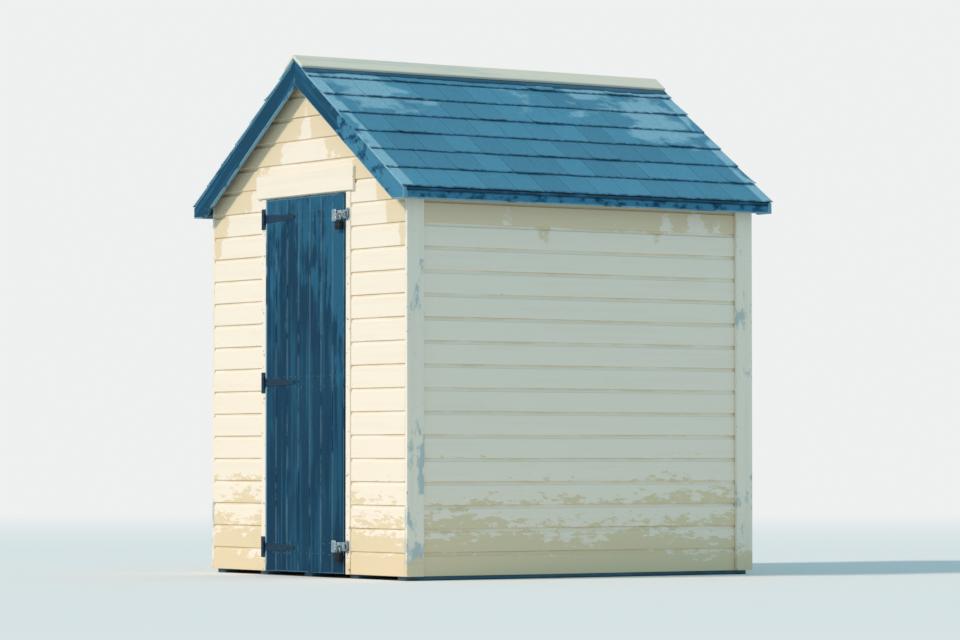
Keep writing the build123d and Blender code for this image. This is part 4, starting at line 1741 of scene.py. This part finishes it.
@dataclass
class Roof:
    """Roof boards, felt shingles in courses, the strip under the ridge and the painted capping."""

    hut: Hut
    board_count: int = 12
    board_gap: float = 0.001
    courses: int = 7
    tabs: int = 13
    gap: float = 0.004
    felt: float = 0.0042
    overlap: float = 0.030
    stray: float = 0.0012
    curl: float = 0.0016
    bent_share: float = 0.12
    bent_curl: float = 0.006
    butt_round: float = 0.0012
    taper: float = 0.004
    cap_wing: float = 0.095
    cap_joint: float = 0.0004
    cap_bevel: float = 0.0008
    cap_end: float = 0.0005
    strip_reach: float = 0.038
    strip_depths: tuple[float, float, float, float] = (-0.0028, -0.0022, 0.0006, 0.0006)
    strip_points: int = 90
    wander: float = 0.006
    blur: int = 9
    soften: float = 0.003
    seed: int = 100

    def boards(self, side: Side) -> Surface:
        """Lay boards from front to back, from the ridge down to the eaves.

        Args:
            side: Slope of the roof.

        Returns:
            The boards.
        """
        hut, reach, seed = self.hut, self.hut.barge_back, self.seed + side
        start, end = hut.under * hut.slope, (hut.eaves_x + hut.shingle * sin(hut.pitch)) / cos(hut.pitch)
        width = (end - start) / self.board_count
        distance = start + (np.arange(self.board_count) + 0.5) * width
        section = Section.timber(width - self.board_gap, hut.boarding, radius=0.0015)
        line = hut.on_slope(side, distance, hut.shingle + hut.boarding / 2)
        return section.run(line, side * Y, hut.facing(side), (-reach, reach), seed, bow=0.0003)

    def shingles(self, side: Side) -> Surface:
        """Lay tabs in courses from the eaves up, each second course half a tab along.

        At a share v of a tab's length from its head, and across it by w from -1 to 1, the top lies a share v
        of one course's step above its head, and curls up by c v^4 (1 + w^2) / 2 at the butt.

        Args:
            side: Slope of the roof.

        Returns:
            The tabs.
        """
        hut, rng = self.hut, np.random.default_rng(self.seed + 10 + side)
        slope = hut.drip_x / cos(hut.pitch)
        step, pitch = slope / self.courses, 2 * hut.verge / (self.tabs + 0.5)
        course, number = (v.ravel() for v in np.indices((self.courses, self.tabs + 1)))
        left = pitch * (number - course % 2 / 2) - hut.verge
        right = np.where(number == self.tabs, hut.verge, left + pitch - self.gap)
        left, raised = left.clip(-hut.verge), course > 0
        k, bent = len(left), rng.random(len(left)) < self.bent_share
        butt = slope - step * course + raised * rng.normal(0, self.stray, k)
        curl = raised * (np.abs(rng.normal(0, self.curl, k)) + self.bent_curl * bent)
        length = np.minimum(step + self.overlap, butt - self.gap)
        v = np.array([0, 0.3, 0.6, 0.8, 0.92, 0.985, 1.0])[:, None]
        w = np.linspace(-1, 1, 5)
        w, under = np.append(w, w[::-1]), np.repeat([0.0, 1.0], 5)
        rounding, taper = self.butt_round * (v == 1) * (1 - 2 * under), 1 - self.taper * v
        curl, length, left, right, butt = np.array([curl, length, left, right, butt])[..., None, None]
        head = hut.shingle * 0.5 * length / step
        depth = head * (1 - v) - curl * v**4 * (1 + w**2) / 2 + self.felt * under + rounding
        y = (left + right) / 2 + (right - left) / 2 * w * taper
        points = walk(hut.on_slope(side, butt - length * (1 - v), depth), (y, Y))
        grain, turn, seed = weave(butt - length * (1 - v), y), -side, self.seed + 12 + side
        return loft(points[:, :, ::turn], grain[:, :, ::turn], seed, edge=v > 0.95, smooth=False)

    def strip(self, side: Side) -> Surface:
        """Lay a felt strip under the capping, with a lower edge that wanders.

        Args:
            side: Slope of the roof.

        Returns:
            The strip.
        """
        hut, rng = self.hut, np.random.default_rng(self.seed + 20 + side)
        y = np.linspace(-hut.verge, hut.verge, self.strip_points)[:, None]
        steps = rng.normal(0, self.wander, self.strip_points + self.blur - 1)
        wander = np.convolve(steps, np.ones(self.blur) / np.sqrt(self.blur), "valid")
        low, high = self.cap_wing + self.strip_reach + wander, self.cap_wing - self.gap
        distance, depth = weave(high, low, low, high), np.array(self.strip_depths)
        points, grain = walk(hut.on_slope(side, distance, depth), (y, Y)), weave(y, distance)
        # The crevice mark turns the strip dark, which stands in for the shade under the capping.
        return loft(points[:, ::side], grain[:, ::side], self.seed + 22 + side, edge=0.2, crevice=0.85)

    def capping(self, side: Side) -> Surface:
        """Lay one board of the ridge capping, mitred to the other at the ridge.

        Args:
            side: Slope of the roof.

        Returns:
            The board.
        """
        hut, wing, soft, high = self.hut, self.cap_wing, self.soften, box("ridge_cap")[1]
        thick, reach = (high[2] - hut.apex) * cos(hut.pitch), high[1] - self.cap_end
        mitre, joint, bevel = wing + thick * hut.slope, self.cap_joint, self.cap_bevel
        foot = [(0.0, soft), (soft, 0.0), (wing - joint, 0.0), (mitre - joint - bevel, thick - bevel)]
        top = [(mitre - WORN / 2, thick), (WORN, thick), (soft, thick), (0.0, thick - soft)]
        section, line = Section(np.array(foot + top), edge=0.7), hut.on_slope(side, wing)
        along, out, seed = side * Y, hut.facing(side), self.seed + 26 + side
        return section.run(line, along, out, (-reach, reach), seed, soft, bow=0.0012, stations=9)

    def build(self) -> None:
        """Make the roof's covering."""
        for side in Side:
            planks, tabs = f"roof_boards_{side.label}", f"shingles_{side.label}"
            self.boards(side).publish(f"{planks}_planks", Slot.BOARDING, planks)
            cover = Surface.join(self.shingles(side), self.strip(side))
            cover.publish(f"{tabs}_tabs", Slot.SHINGLE, tabs)
        Surface.join(*map(self.capping, Side)).publish("ridge_capping", Slot.RIDGE, "ridge_cap")


@dataclass
class Verges:
    """Bargeboards on the gables and the boards along the eaves."""

    hut: Hut
    depth: float = 0.100
    eaves_thickness: float = 0.018
    joint: float = 0.0004
    soften: float = 0.003
    wear: float = 0.005
    seed: int = 130

    def barge(self, side: Side, end: End) -> Surface:
        """Cut a bargeboard, plumb at the ridge and at the eaves and level at its foot.

        Args:
            side: Slope that it follows.
            end: Gable that it stands on.

        Returns:
            The board.
        """
        hut, low, joint = self.hut, self.hut.shingle + self.depth, self.joint
        foot = [(joint, hut.roof_z(joint, low)), (hut.roof_x(hut.barge_foot, low), hut.barge_foot)]
        tail = [(hut.eaves_x, hut.barge_foot), (hut.eaves_x, hut.roof_z(hut.eaves_x, hut.shingle))]
        outline = np.array(foot + tail + [(joint, hut.roof_z(joint, hut.shingle))])
        turn, thick = -side * end, hut.barge_front - hut.barge_back
        plane, seed = Plane(end * hut.barge_back * Y, -end * X), self.seed + 2 * side + end
        return plate(plane, outline * (turn, 1), thick, seed, self.soften, self.wear, -turn * hut.pitch)

    def eaves(self, side: Side) -> Surface:
        """Close a slope's rafter ends with a board, under the roof boards.

        Args:
            side: Slope of the roof.

        Returns:
            The board.
        """
        low, high = box("eaves_boards")
        thick, soft, out = self.eaves_thickness, self.soften, side * X
        inner, outer = self.hut.roof_z(np.array([high[0] - thick, high[0]]), self.hut.under) - low[2]
        top = [(soft, 0.0), (inner, 0.0), (outer, thick), (WORN, thick)]
        foot = [(soft, thick), (0.0, thick - soft), (0.0, soft)]
        section = Section(np.array(top + foot), np.array([1, 0, 0, 0, 1, 1, 1]))
        line, seed = (high[0] - thick) * out + low[2] * Z, self.seed + 10 + side
        return section.run(line, np.cross(Z, out), out, (low[1], high[1]), seed, stations=7)

    def build(self) -> None:
        """Make the verges and eaves."""
        for end in End:
            for side in Side:
                name = f"bargeboard_{end.label}_{side.label}"
                self.barge(side, end).publish(f"{name}_painted", Slot.BARGE, name)
        Surface.join(*map(self.eaves, Side)).publish("eaves_boards_painted", Slot.BARGE, "eaves_boards")


@dataclass
class Door:
    """Grooved boards nailed to three ledges and two braces."""

    board_count: int = 7
    joint: float = 0.0003
    groove_half: float = 0.003
    groove_depth: float = 0.004
    worn: float = 0.008
    ledge_height: float = 0.100
    bevel: float = 0.004
    brace_width: float = 0.090
    brace_gap: float = 0.0005
    soften: float = 0.002
    wear: float = 0.005
    nail_inset: float = 0.026
    stray: float = 0.002
    seed: int = 150

    def levels(self) -> Array:
        """Heights of the ledges' middles."""
        low, high = box("door_ledges")[:, 2] - BOTH * self.ledge_height / 2
        return np.array([low, (low + high) / 2, high])

    def leaf(self) -> Surface:
        """Nail up the leaf's boards, each with its front corners cut back by half a groove.

        Returns:
            The boards and two rows of painted nail heads at each ledge.
        """
        (low, high), rng = box("door_boards"), np.random.default_rng(self.seed)
        width, thick = (high[0] - low[0]) / self.board_count, high[1] - low[1]
        half, shoulder = width / 2 - self.joint, thick - self.groove_depth
        cut = half - self.groove_half
        back = [(-half, 0.0), (half, 0.0), (half, shoulder), (cut, thick), (cut - self.worn, thick)]
        outline = np.array(back + [(self.worn - cut, thick), (-cut, thick), (-half, shoulder)])
        wear, dirt = np.array([0, 0, 0, 0.8, 0, 0, 0.8, 0]), np.array([0.4, 0.4, 1, 0.4, 0, 0, 0.4, 1])
        middle = low[0] + (np.arange(self.board_count) + 0.5) * width
        line, trim = grid(middle, high[1], 0.0), rng.uniform(0, self.stray, (self.board_count, 2)) * (1, -1)
        section, span = Section(outline, wear, dirt), np.array([low[2], high[2]]) + trim
        boards = section.run(line, Z, -Y, span, self.seed + 1, bow=0.0005, stations=6)
        x = middle[:, None] + BOTH * (width / 2 - self.nail_inset)
        centres = grid(x, low[1], self.levels()[:, None] + BOTH * self.nail_inset)
        centres += rng.normal(0, self.stray, centres.shape) * (1, 0, 1)
        return Surface.join(boards, turned(centres, -Y, Turning.DOOR_NAIL.value, self.seed + 8, sides=10))

    def backing(self) -> Surface:
        """Lay the ledges with bevelled edges, and the two braces that rise from the hinge side.

        Returns:
            The ledges and braces.
        """
        (low, high), levels = box("door_ledges"), self.levels()
        depth, half, bevel = high[1] - low[1], self.ledge_height / 2, self.bevel
        front = [(half, depth - bevel), (half - bevel, depth), (bevel - half, depth), (-half, depth - bevel)]
        section = Section(np.array([(-half, 0.0), (half, 0.0)] + front))
        line, span = grid(0.0, low[1], levels), (low[0], high[0])
        shapes = [section.run(line, -X, Y, span, self.seed + 3, soften=0.003)]
        brace, width, reach = box("door_braces")[:, 1], self.brace_width, high[0]
        foots, tops = levels[:-1] + half + self.brace_gap, levels[1:] - half - self.brace_gap
        for number, (foot, top) in enumerate(zip(foots, tops)):
            run, rise = 2 * reach - width, top - foot
            flat = width * np.hypot(run, rise) / rise
            shape = [(-reach, foot), (flat - reach, foot), (reach, top), (reach - flat, top)]
            plane, turn = Plane(brace[0] * Y, -X), np.pi - np.arctan2(rise, run)
            outline, seed = np.array(shape) * (-1, 1), self.seed + 5 + number
            shapes.append(plate(plane, outline, np.ptp(brace), seed, self.soften, self.wear, turn))
        return Surface.join(*shapes)

    def build(self) -> None:
        """Make the leaf and its backing."""
        self.leaf().publish("door_leaf_boards", Slot.DOOR, "door_boards", body=Body.DOOR)
        nodes = ("door_ledges", "door_braces")
        self.backing().publish("door_ledges_and_braces", Slot.DOOR, *nodes, body=Body.DOOR)


@dataclass
class Ironmongery:
    """What the hinges and the hasps share: plates, screws, and knuckles on a pin."""

    metal: float = 0.003
    knuckle: float = 0.006
    bore: float = 0.0033
    pin: float = 0.0030
    length: float = 0.060
    play: float = 0.0004
    corner: float = 0.004
    rim: float = 0.0008
    dome: float = 0.0025
    head_share: float = 0.78
    drive: float = 0.0009
    arm_metal: float = 0.0042

    def drum(self, axis: Array, low: float, high: float, seed: int) -> Surface:
        """Turn a bored knuckle between two heights about its pin, with rounded rims.

        Args:
            axis: Place of the pin.
            low: Height of its foot.
            high: Height of its top.
            seed: Seed of its own number.

        Returns:
            The knuckle.
        """
        tall, rim, full = high - low, self.rim, self.knuckle
        radii = [self.bore, full - rim, full, full, full - rim, self.bore]
        profile = [0, 0, rim, tall - rim, tall, tall], radii
        return turned(axis + low * Z, Z, profile, seed, sides=20, bored=True)

    def fixed(self, axis: Array, edge: float, face: float, seed: int) -> list[Surface]:
        """Make the two outer knuckles, their arms from a plate's edge, and the pin with its domed ends.

        Args:
            axis: Place of the pin.
            edge: Place of the plate's edge.
            face: Place of the arms' backs.
            seed: Seed of their own numbers.

        Returns:
            The shapes.
        """
        third, half, shapes = self.length / 6, self.length / 2, []
        x = np.array([edge - np.sign(axis[0] - edge) * self.metal, axis[0]])
        plane = Plane(face * Y + axis[2] * Z)
        for low, high in ((-half, -third), (third, half)):
            arm = weave(x[[0, 1, 1, 0]], np.array([low, low, high, high]))
            shapes.append(self.drum(axis, low, high, seed))
            shapes.append(plate(plane, arm, self.arm_metal, seed + 1, soften=0.0006, wear=0.001))
        dome, tall, wide = self.dome, self.length + 2 * self.dome, self.head_share * self.knuckle
        end, ring = np.array([0, self.rim, dome, dome]), np.array([0.4 * wide, 0.9 * wide, wide, self.pin])
        profile = np.append(end, tall - end[::-1]), np.append(ring, ring[::-1])
        return shapes + [turned(axis - tall / 2 * Z, Z, profile, seed + 2, sides=14)]

    def leaf(self, plane: Plane, size: tuple[float, float], screws: Array, seed: int) -> list[Surface]:
        """Make a plate with rounded corners about its frame's zero, and its screws.

        Args:
            plane: Frame of the plate.
            size: Width and height of the plate.
            screws: Places of the screws, as shares of half of its size.
            seed: Seed of their own numbers.

        Returns:
            The shapes.
        """
        half = np.array(size) / 2
        outline = rounded(SQUARE * half, self.corner, steps=4)
        return [plate(plane, outline, self.metal, seed), self.screws(plane, screws * half, seed + 1)]

    def screws(self, plane: Plane, places: Array, seed: int) -> Surface:
        """Slotted screw heads on a plate's face, each with its slot at its own angle."""
        centres, out = plane.place(places, self.metal), np.cross(plane.across, plane.up)
        return turned(centres, out, Turning.IRON_SCREW.value, seed, sides=12, slot=self.drive)


@dataclass
class Hinges(Ironmongery):
    """Tee hinges: a plate on the post and a tapered strap on the door."""

    strap_length: float = 0.290
    strap_root: float = 0.042
    strap_tip: float = 0.020
    strap_step: float = 0.003
    strap_screws: tuple[tuple[float, float], ...] = (
        (0.030, 0.011), (0.030, -0.011), (0.095, 0.0), (0.165, 0.0), (0.225, 0.0),
    )
    plate_size: tuple[float, float] = (0.036, 0.105)
    plate_screws: tuple[tuple[float, float], ...] = ((0.3, -0.72), (0.3, 0.72), (-0.4, -0.4), (-0.4, 0.4))
    arm_off: float = 0.0022
    seed: int = 160

    def strap(self, plane: Plane, axis: Array, seed: int) -> list[Surface]:
        """Make a strap that tapers from its knuckle to a round tip, with its screws.

        Args:
            plane: Frame of the strap, with its zero under the pin.
            axis: Place of the pin.
            seed: Seed of its own numbers.

        Returns:
            The strap's shapes.
        """
        root, tip, neck = self.strap_root / 2, self.strap_tip / 2, self.length / 6 - self.play
        shoulder, end, step = 2 * self.knuckle, self.strap_length - tip, self.strap_step
        nose = tip * circle(np.radians(np.linspace(-90, 90, 11))) + (end, 0)
        foot = [(step, -neck), (shoulder - step, -neck), (shoulder, -neck - step), (shoulder, -root)]
        outline = np.vstack([foot, nose, np.array(foot[::-1]) * (1, -1)])
        places = np.array([*self.strap_screws, (end, 0.0)])
        plates = [plate(plane, outline, self.metal, seed), self.screws(plane, places, seed + 2)]
        return plates + [self.drum(axis, -neck, neck, seed + 1)]

    def build(self, levels: Array) -> None:
        """Make the three hinges.

        Args:
            levels: Heights of their middles.
        """
        door_face, post_face = box("door_boards")[0, 1], box("door_post_left")[0, 1]
        wide, places = self.plate_size[0], np.array(self.plate_screws)
        edge, straps, plates = box("hinge_plates")[0, 0] + wide, [], []
        for number, level in enumerate(levels):
            axis, seed = pin_of("door_swing") * (1, 1, 0) + level * Z, self.seed + 10 * number
            straps += self.strap(Plane(np.array([axis[0], door_face, level])), axis, seed)
            plane = Plane(np.array([edge - wide / 2, post_face, level]))
            plates += self.leaf(plane, self.plate_size, places, seed + 30)
            plates += self.fixed(axis, edge, post_face - self.arm_off, seed + 33)
        Surface.join(*straps).publish("hinge_strap_set", Slot.HINGE, "hinge_straps", body=Body.DOOR)
        Surface.join(*plates).publish("hinge_plate_set", Slot.HINGE, "hinge_plates")


@dataclass
class Hasp(Ironmongery):
    """A hasp: plate and pin on the door, a slotted strap over a staple on the post, and its padlock."""

    knuckle: float = 0.005
    length: float = 0.048
    body: Body = Body.UPPER_HASP
    plate_size: tuple[float, float] = (0.040, 0.060)
    plate_screws: tuple[float, float] = (0.55, 0.70)
    staple_size: tuple[float, float] = (0.034, 0.062)
    staple_screws: tuple[float, float] = (0.50, 0.76)
    rod: float = 0.0035
    staple_half: float = 0.010
    slot: float = 0.011
    slack: float = 0.001
    lug_reach: float = 0.024
    lug_height: float = 0.028
    lug_flat: float = 0.0004
    lug_corner: float = 0.0006
    eye_slack: float = 0.0012
    flat: float = 0.0005
    root_round: float = 0.002
    lock: tuple[float, float, float] = (0.050, 0.044, 0.020)
    bands: tuple[float, float, float] = (0.007, 0.012, 0.035)
    band: float = 0.0028
    band_proud: float = 0.0012
    key_inset: float = 0.0002
    shackle_bend: float = 0.0135
    shackle_rod: float = 0.0034
    seed: int = 300

    def __post_init__(self) -> None:
        """Read the places of its pin, of its staple and of the hole in its lug."""
        self.seed += 40 * list(Body).index(self.body)
        self.word = self.body.value.split("_")[0]
        self.axis = pin_of(f"{self.body.value}_swing")
        self.staple_x = box("hasp_staples")[:, 0].mean()
        lock = box(f"{self.word}_padlock")
        self.lock_foot, self.hole = lock[0, 2], np.append(lock.mean(0)[:2], lock[1, 2] - self.rod)

    def door_plate(self) -> Surface:
        """Make the door's plate, its knuckles and its pin.

        Returns:
            The plate.
        """
        face, left, wide = box("door_boards")[0, 1], box("hasp_plates")[0, 0], self.plate_size[0]
        plane = Plane(np.array([left + wide / 2, face, self.axis[2]]))
        shapes = self.leaf(plane, self.plate_size, SQUARE * self.plate_screws, self.seed + 20)
        return Surface.join(*shapes, *self.fixed(self.axis, left + wide, face - self.slack, self.seed + 22))

    def staple(self) -> Surface:
        """Make the staple: a screwed plate on the post and a loop of rod that stands out of it.

        Returns:
            The staple.
        """
        face, half, seed = box("door_post_right")[0, 1] * Y, self.staple_half, self.seed + 30
        foot = self.staple_x * X + self.axis[2] * Z
        bend = foot + (box("hasp_staples")[0, 1] + self.rod + half) * Y
        shapes = self.leaf(Plane(foot + face), self.staple_size, SQUARE * self.staple_screws, seed)
        leg = foot + face - bend - self.slack * Y
        loop = hoop(bend - half * Z, bend - half * Y, bend + half * Z, leg, self.rod, seed + 2)
        return Surface.join(*shapes, loop)

    def strap(self) -> Surface:
        """Make the slotted strap with its knuckle and the lug that the padlock hangs in.

        Returns:
            The strap.
        """
        axis, seed, (low, high) = self.axis, self.seed, box(f"{self.word}_hasp_strap") - self.staple_x * X
        half, neck, metal = (high[2] - low[2]) / 2, self.length / 6 - self.play, self.metal
        pin, back, round_end = axis[0] - self.staple_x, box("door_boards")[0, 1] - metal, half - self.flat
        left, plane = pin + 2 * self.knuckle, Plane(np.array([self.staple_x, back, axis[2]]))
        corners = np.array([(left, -half), (high[0], -half), (high[0], half), (left, half)])
        outer = rounded(corners, np.array([self.root_round, round_end, round_end, self.root_round]), steps=9)
        hole = stadium(2 * self.staple_half + self.slot, self.slot) @ np.array([(0.0, 1.0), (-1.0, 0.0)])
        inner = left + self.slack
        tongue = np.array([(pin, -neck), (inner, -neck), (inner, neck), (pin, neck)])
        round_lug = self.lug_height / 2
        centre = back - metal - self.lug_reach + round_lug
        root = back - metal + CUT_GAP - centre
        end = np.array([(-round_lug, -1), (root, -1), (root, 1), (-round_lug, 1)]) * (1, round_lug)
        tip, corner = round_lug - self.lug_flat, self.lug_corner
        tips = np.array([tip, corner, corner, tip])
        eye = stadium(2 * self.rod + self.eye_slack, 2 * self.rod + self.slack, steps=8)
        lug = Plane(np.array([self.hole[0] - metal / 2, centre, self.hole[2]]), Y)
        return Surface.join(
            holed_plate(plane, outer, hole, metal, seed),
            plate(plane, tongue, metal, seed + 1, soften=0.0005, wear=0.001),
            self.drum(axis, -neck, neck, seed + 2),
            holed_plate(lug, rounded(end, tips, steps=9), eye, metal, seed + 3),
        )

    def case(self) -> Surface:
        """Make the padlock's case with its bands, its shackle's collars and its key cover.

        Returns:
            The case.
        """
        (wide, high, thick), proud = self.lock, self.band_proud
        line, foot, seed = self.hole * (1, 1, 0), self.lock_foot, self.seed + 10
        body = Section.timber(wide, thick, radius=0.005, wear=0.004)
        band = Section.timber(wide + proud, thick + proud, radius=0.0055)
        shapes = [body.run(line, Z, -Y, (foot, foot + high), seed, soften=0.0028, bow=0.0)]
        for number, rise in enumerate(self.bands, 1):
            span = (foot + rise, foot + rise + self.band)
            shapes.append(band.run(line, Z, -Y, span, seed + number, soften=0.0006, bow=0.0))
        legs = walk(line + (foot + high) * Z, (BOTH * self.shackle_bend, X))
        key = line + (foot + self.key_inset) * Z
        shapes.append(turned(legs, Z, Turning.COLLAR.value, seed + 5, sides=18))
        shapes.append(turned(key, -Z, Turning.KEY_COVER.value, seed + 6, sides=18))
        return Surface.join(*shapes)

    def shackle(self) -> Surface:
        """Bend the padlock's shackle through the lug's hole.

        Returns:
            The shackle.
        """
        reach, middle = self.shackle_bend, self.hole - self.shackle_bend * Z
        leg = (self.lock_foot + self.lock[1] - self.slack - middle[2]) * Z
        bend = (middle - reach * X, self.hole, middle + reach * X)
        return hoop(*bend, leg, self.shackle_rod, self.seed + 18)

    def build(self) -> tuple[Surface, Surface]:
        """Make the strap and the padlock.

        Returns:
            The door's plate and the post's staple, for the pieces that hold both hasps'.
        """
        strap, lock = f"{self.word}_hasp_strap", f"{self.word}_padlock"
        self.strap().publish(f"{strap}_slotted", Slot.GALVANISED, strap, body=self.body)
        self.case().publish(f"{lock}_case", Slot.PADLOCK, lock, body=self.body)
        self.shackle().publish(f"{lock}_shackle", Slot.GALVANISED, body=self.body)
        return self.door_plate(), self.staple()


@dataclass
class Studio:
    """Pale floor and backdrop, soft light and the camera."""

    eye: tuple[float, float, float] = (16.92, -11.46, 0.59)
    aim: tuple[float, float, float] = (0.0, 0.0, 1.30)
    lens: float = 149.0
    sight: float = 200.0
    floor_reach: float = 30.0
    floor_sides: int = 64
    floor_drop: float = 0.0005
    floor_clears: tuple[float, float] = (0.16, 0.80)
    paper: Colour = (0.88, 0.86, 0.84)
    sun_azimuth: float = -8.0
    sun_elevation: float = 37.0
    sun_width: float = 7.0
    sun_strength: float = 2.2
    sun_colour: Colour = (1.0, 0.82, 0.71)
    sky_colour: Colour = (0.34, 0.54, 0.63)
    backdrop: Colour = (0.86, 0.87, 0.87)

    def hang(self, data: bpy.types.ID, place: Sequence[float], aim: Sequence[float]) -> bpy.types.Object:
        """Put a lamp or a camera at a place, turned to its aim.

        Args:
            data: Lamp or camera.
            place: Where it hangs.
            aim: What it is turned to.

        Returns:
            The object.
        """
        thing = bpy.data.objects.new(data.name, data)
        bpy.context.scene.collection.objects.link(thing)
        thing.location = place
        thing.rotation_euler = (Vector(place) - Vector(aim)).to_track_quat("Z", "Y").to_euler()
        return thing

    def floor(self) -> None:
        """Lay a round floor, r cos t by r sin t, whose matt finish grows clear far from the hut."""
        radius = np.array([0.001, 0.05, 0.1, 0.2, 0.35, 0.5, 0.7, 1.0])[:, None] * self.floor_reach
        angle = np.arange(self.floor_sides) * 2 * np.pi / self.floor_sides
        points = weave(radius * np.cos(angle), radius * np.sin(angle), -self.floor_drop)
        index = np.arange(radius.size * angle.size).reshape(radius.size, angle.size)
        turn = np.roll(index, -1, 1)
        quads = weave(index[:-1], index[1:], turn[1:], turn[:-1]).reshape(-1, 4)
        mesh = bpy.data.meshes.new("studio_floor")
        mesh.from_pydata(points.reshape(-1, 3).tolist(), [], quads.tolist() + [index[0].tolist()])
        material = bpy.data.materials.new("Studio floor")
        material.use_nodes = True
        g = Graph(material.node_tree)
        away = g.node("VectorMath", {0: g.node("TexCoord")["Object"]}, operation="LENGTH")["Value"]
        matt, clear = g.node("BsdfDiffuse", {"Color": self.paper}), g.node("BsdfTransparent")
        share = away.ramp(*(part * self.floor_reach for part in self.floor_clears))
        g.close(g.node("MixShader", {0: share, 1: matt, 2: clear}))
        mesh.materials.append(material)
        floor = bpy.data.objects.new("studio_floor", mesh)
        bpy.context.scene.collection.objects.link(floor)
        floor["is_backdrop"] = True

    def light(self) -> None:
        """Hang one soft sun, under a sky that lights gently and shows as a pale backdrop."""
        sun = bpy.data.lights.new("key_light", "SUN")
        sun.energy, sun.angle, sun.color = self.sun_strength, radians(self.sun_width), self.sun_colour
        turn, rise = radians(self.sun_azimuth), radians(self.sun_elevation)
        self.hang(sun, (sin(turn) * cos(rise), -cos(turn) * cos(rise), sin(rise)), (0, 0, 0))
        world = bpy.data.worlds.new("studio")
        world.use_nodes = True
        g = Graph(world.node_tree)
        rays = g.node("LightPath")
        seen = rays["Is Camera Ray"].most(rays["Is Glossy Ray"]).most(rays["Is Transmission Ray"])
        g.close(g.node("Background", {"Color": seen.mix(self.sky_colour, self.backdrop)}), "OutputWorld")
        bpy.context.scene.world = world

    def build(self) -> None:
        """Make the studio, with the camera at the photograph's viewing angle."""
        self.floor()
        self.light()
        camera = bpy.data.cameras.new("camera")
        camera.lens, camera.clip_end = self.lens, self.sight
        bpy.context.scene.camera = self.hang(camera, self.eye, self.aim)
        bpy.context.scene.view_settings.view_transform = "Standard"
        log.info("studio: floor, sun, sky and camera")


def main() -> None:
    """Build the hut's classes in order and note the sizes."""
    logging.basicConfig(level=logging.INFO, format="%(name)s: %(message)s")
    hut, door = Hut(), Door()
    make_finishes(hut)
    for assembly in (Base(), Framing(hut), Cladding(hut), Trims(hut), Roof(hut), Verges(hut), door):
        assembly.build()
    Hinges().build(door.levels())
    plates, staples = zip(*(Hasp(body=body).build() for body in (Body.UPPER_HASP, Body.LOWER_HASP)))
    Surface.join(*plates).publish("hasp_plate_pair", Slot.GALVANISED, "hasp_plates", body=Body.DOOR)
    Surface.join(*staples).publish("hasp_staple_pair", Slot.GALVANISED, "hasp_staples")
    Studio().build()
    sizes = {"cad": [list(v) for v in cad_bounds], "visual": [list(v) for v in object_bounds()]}


if __name__ == "__main__":
    main()
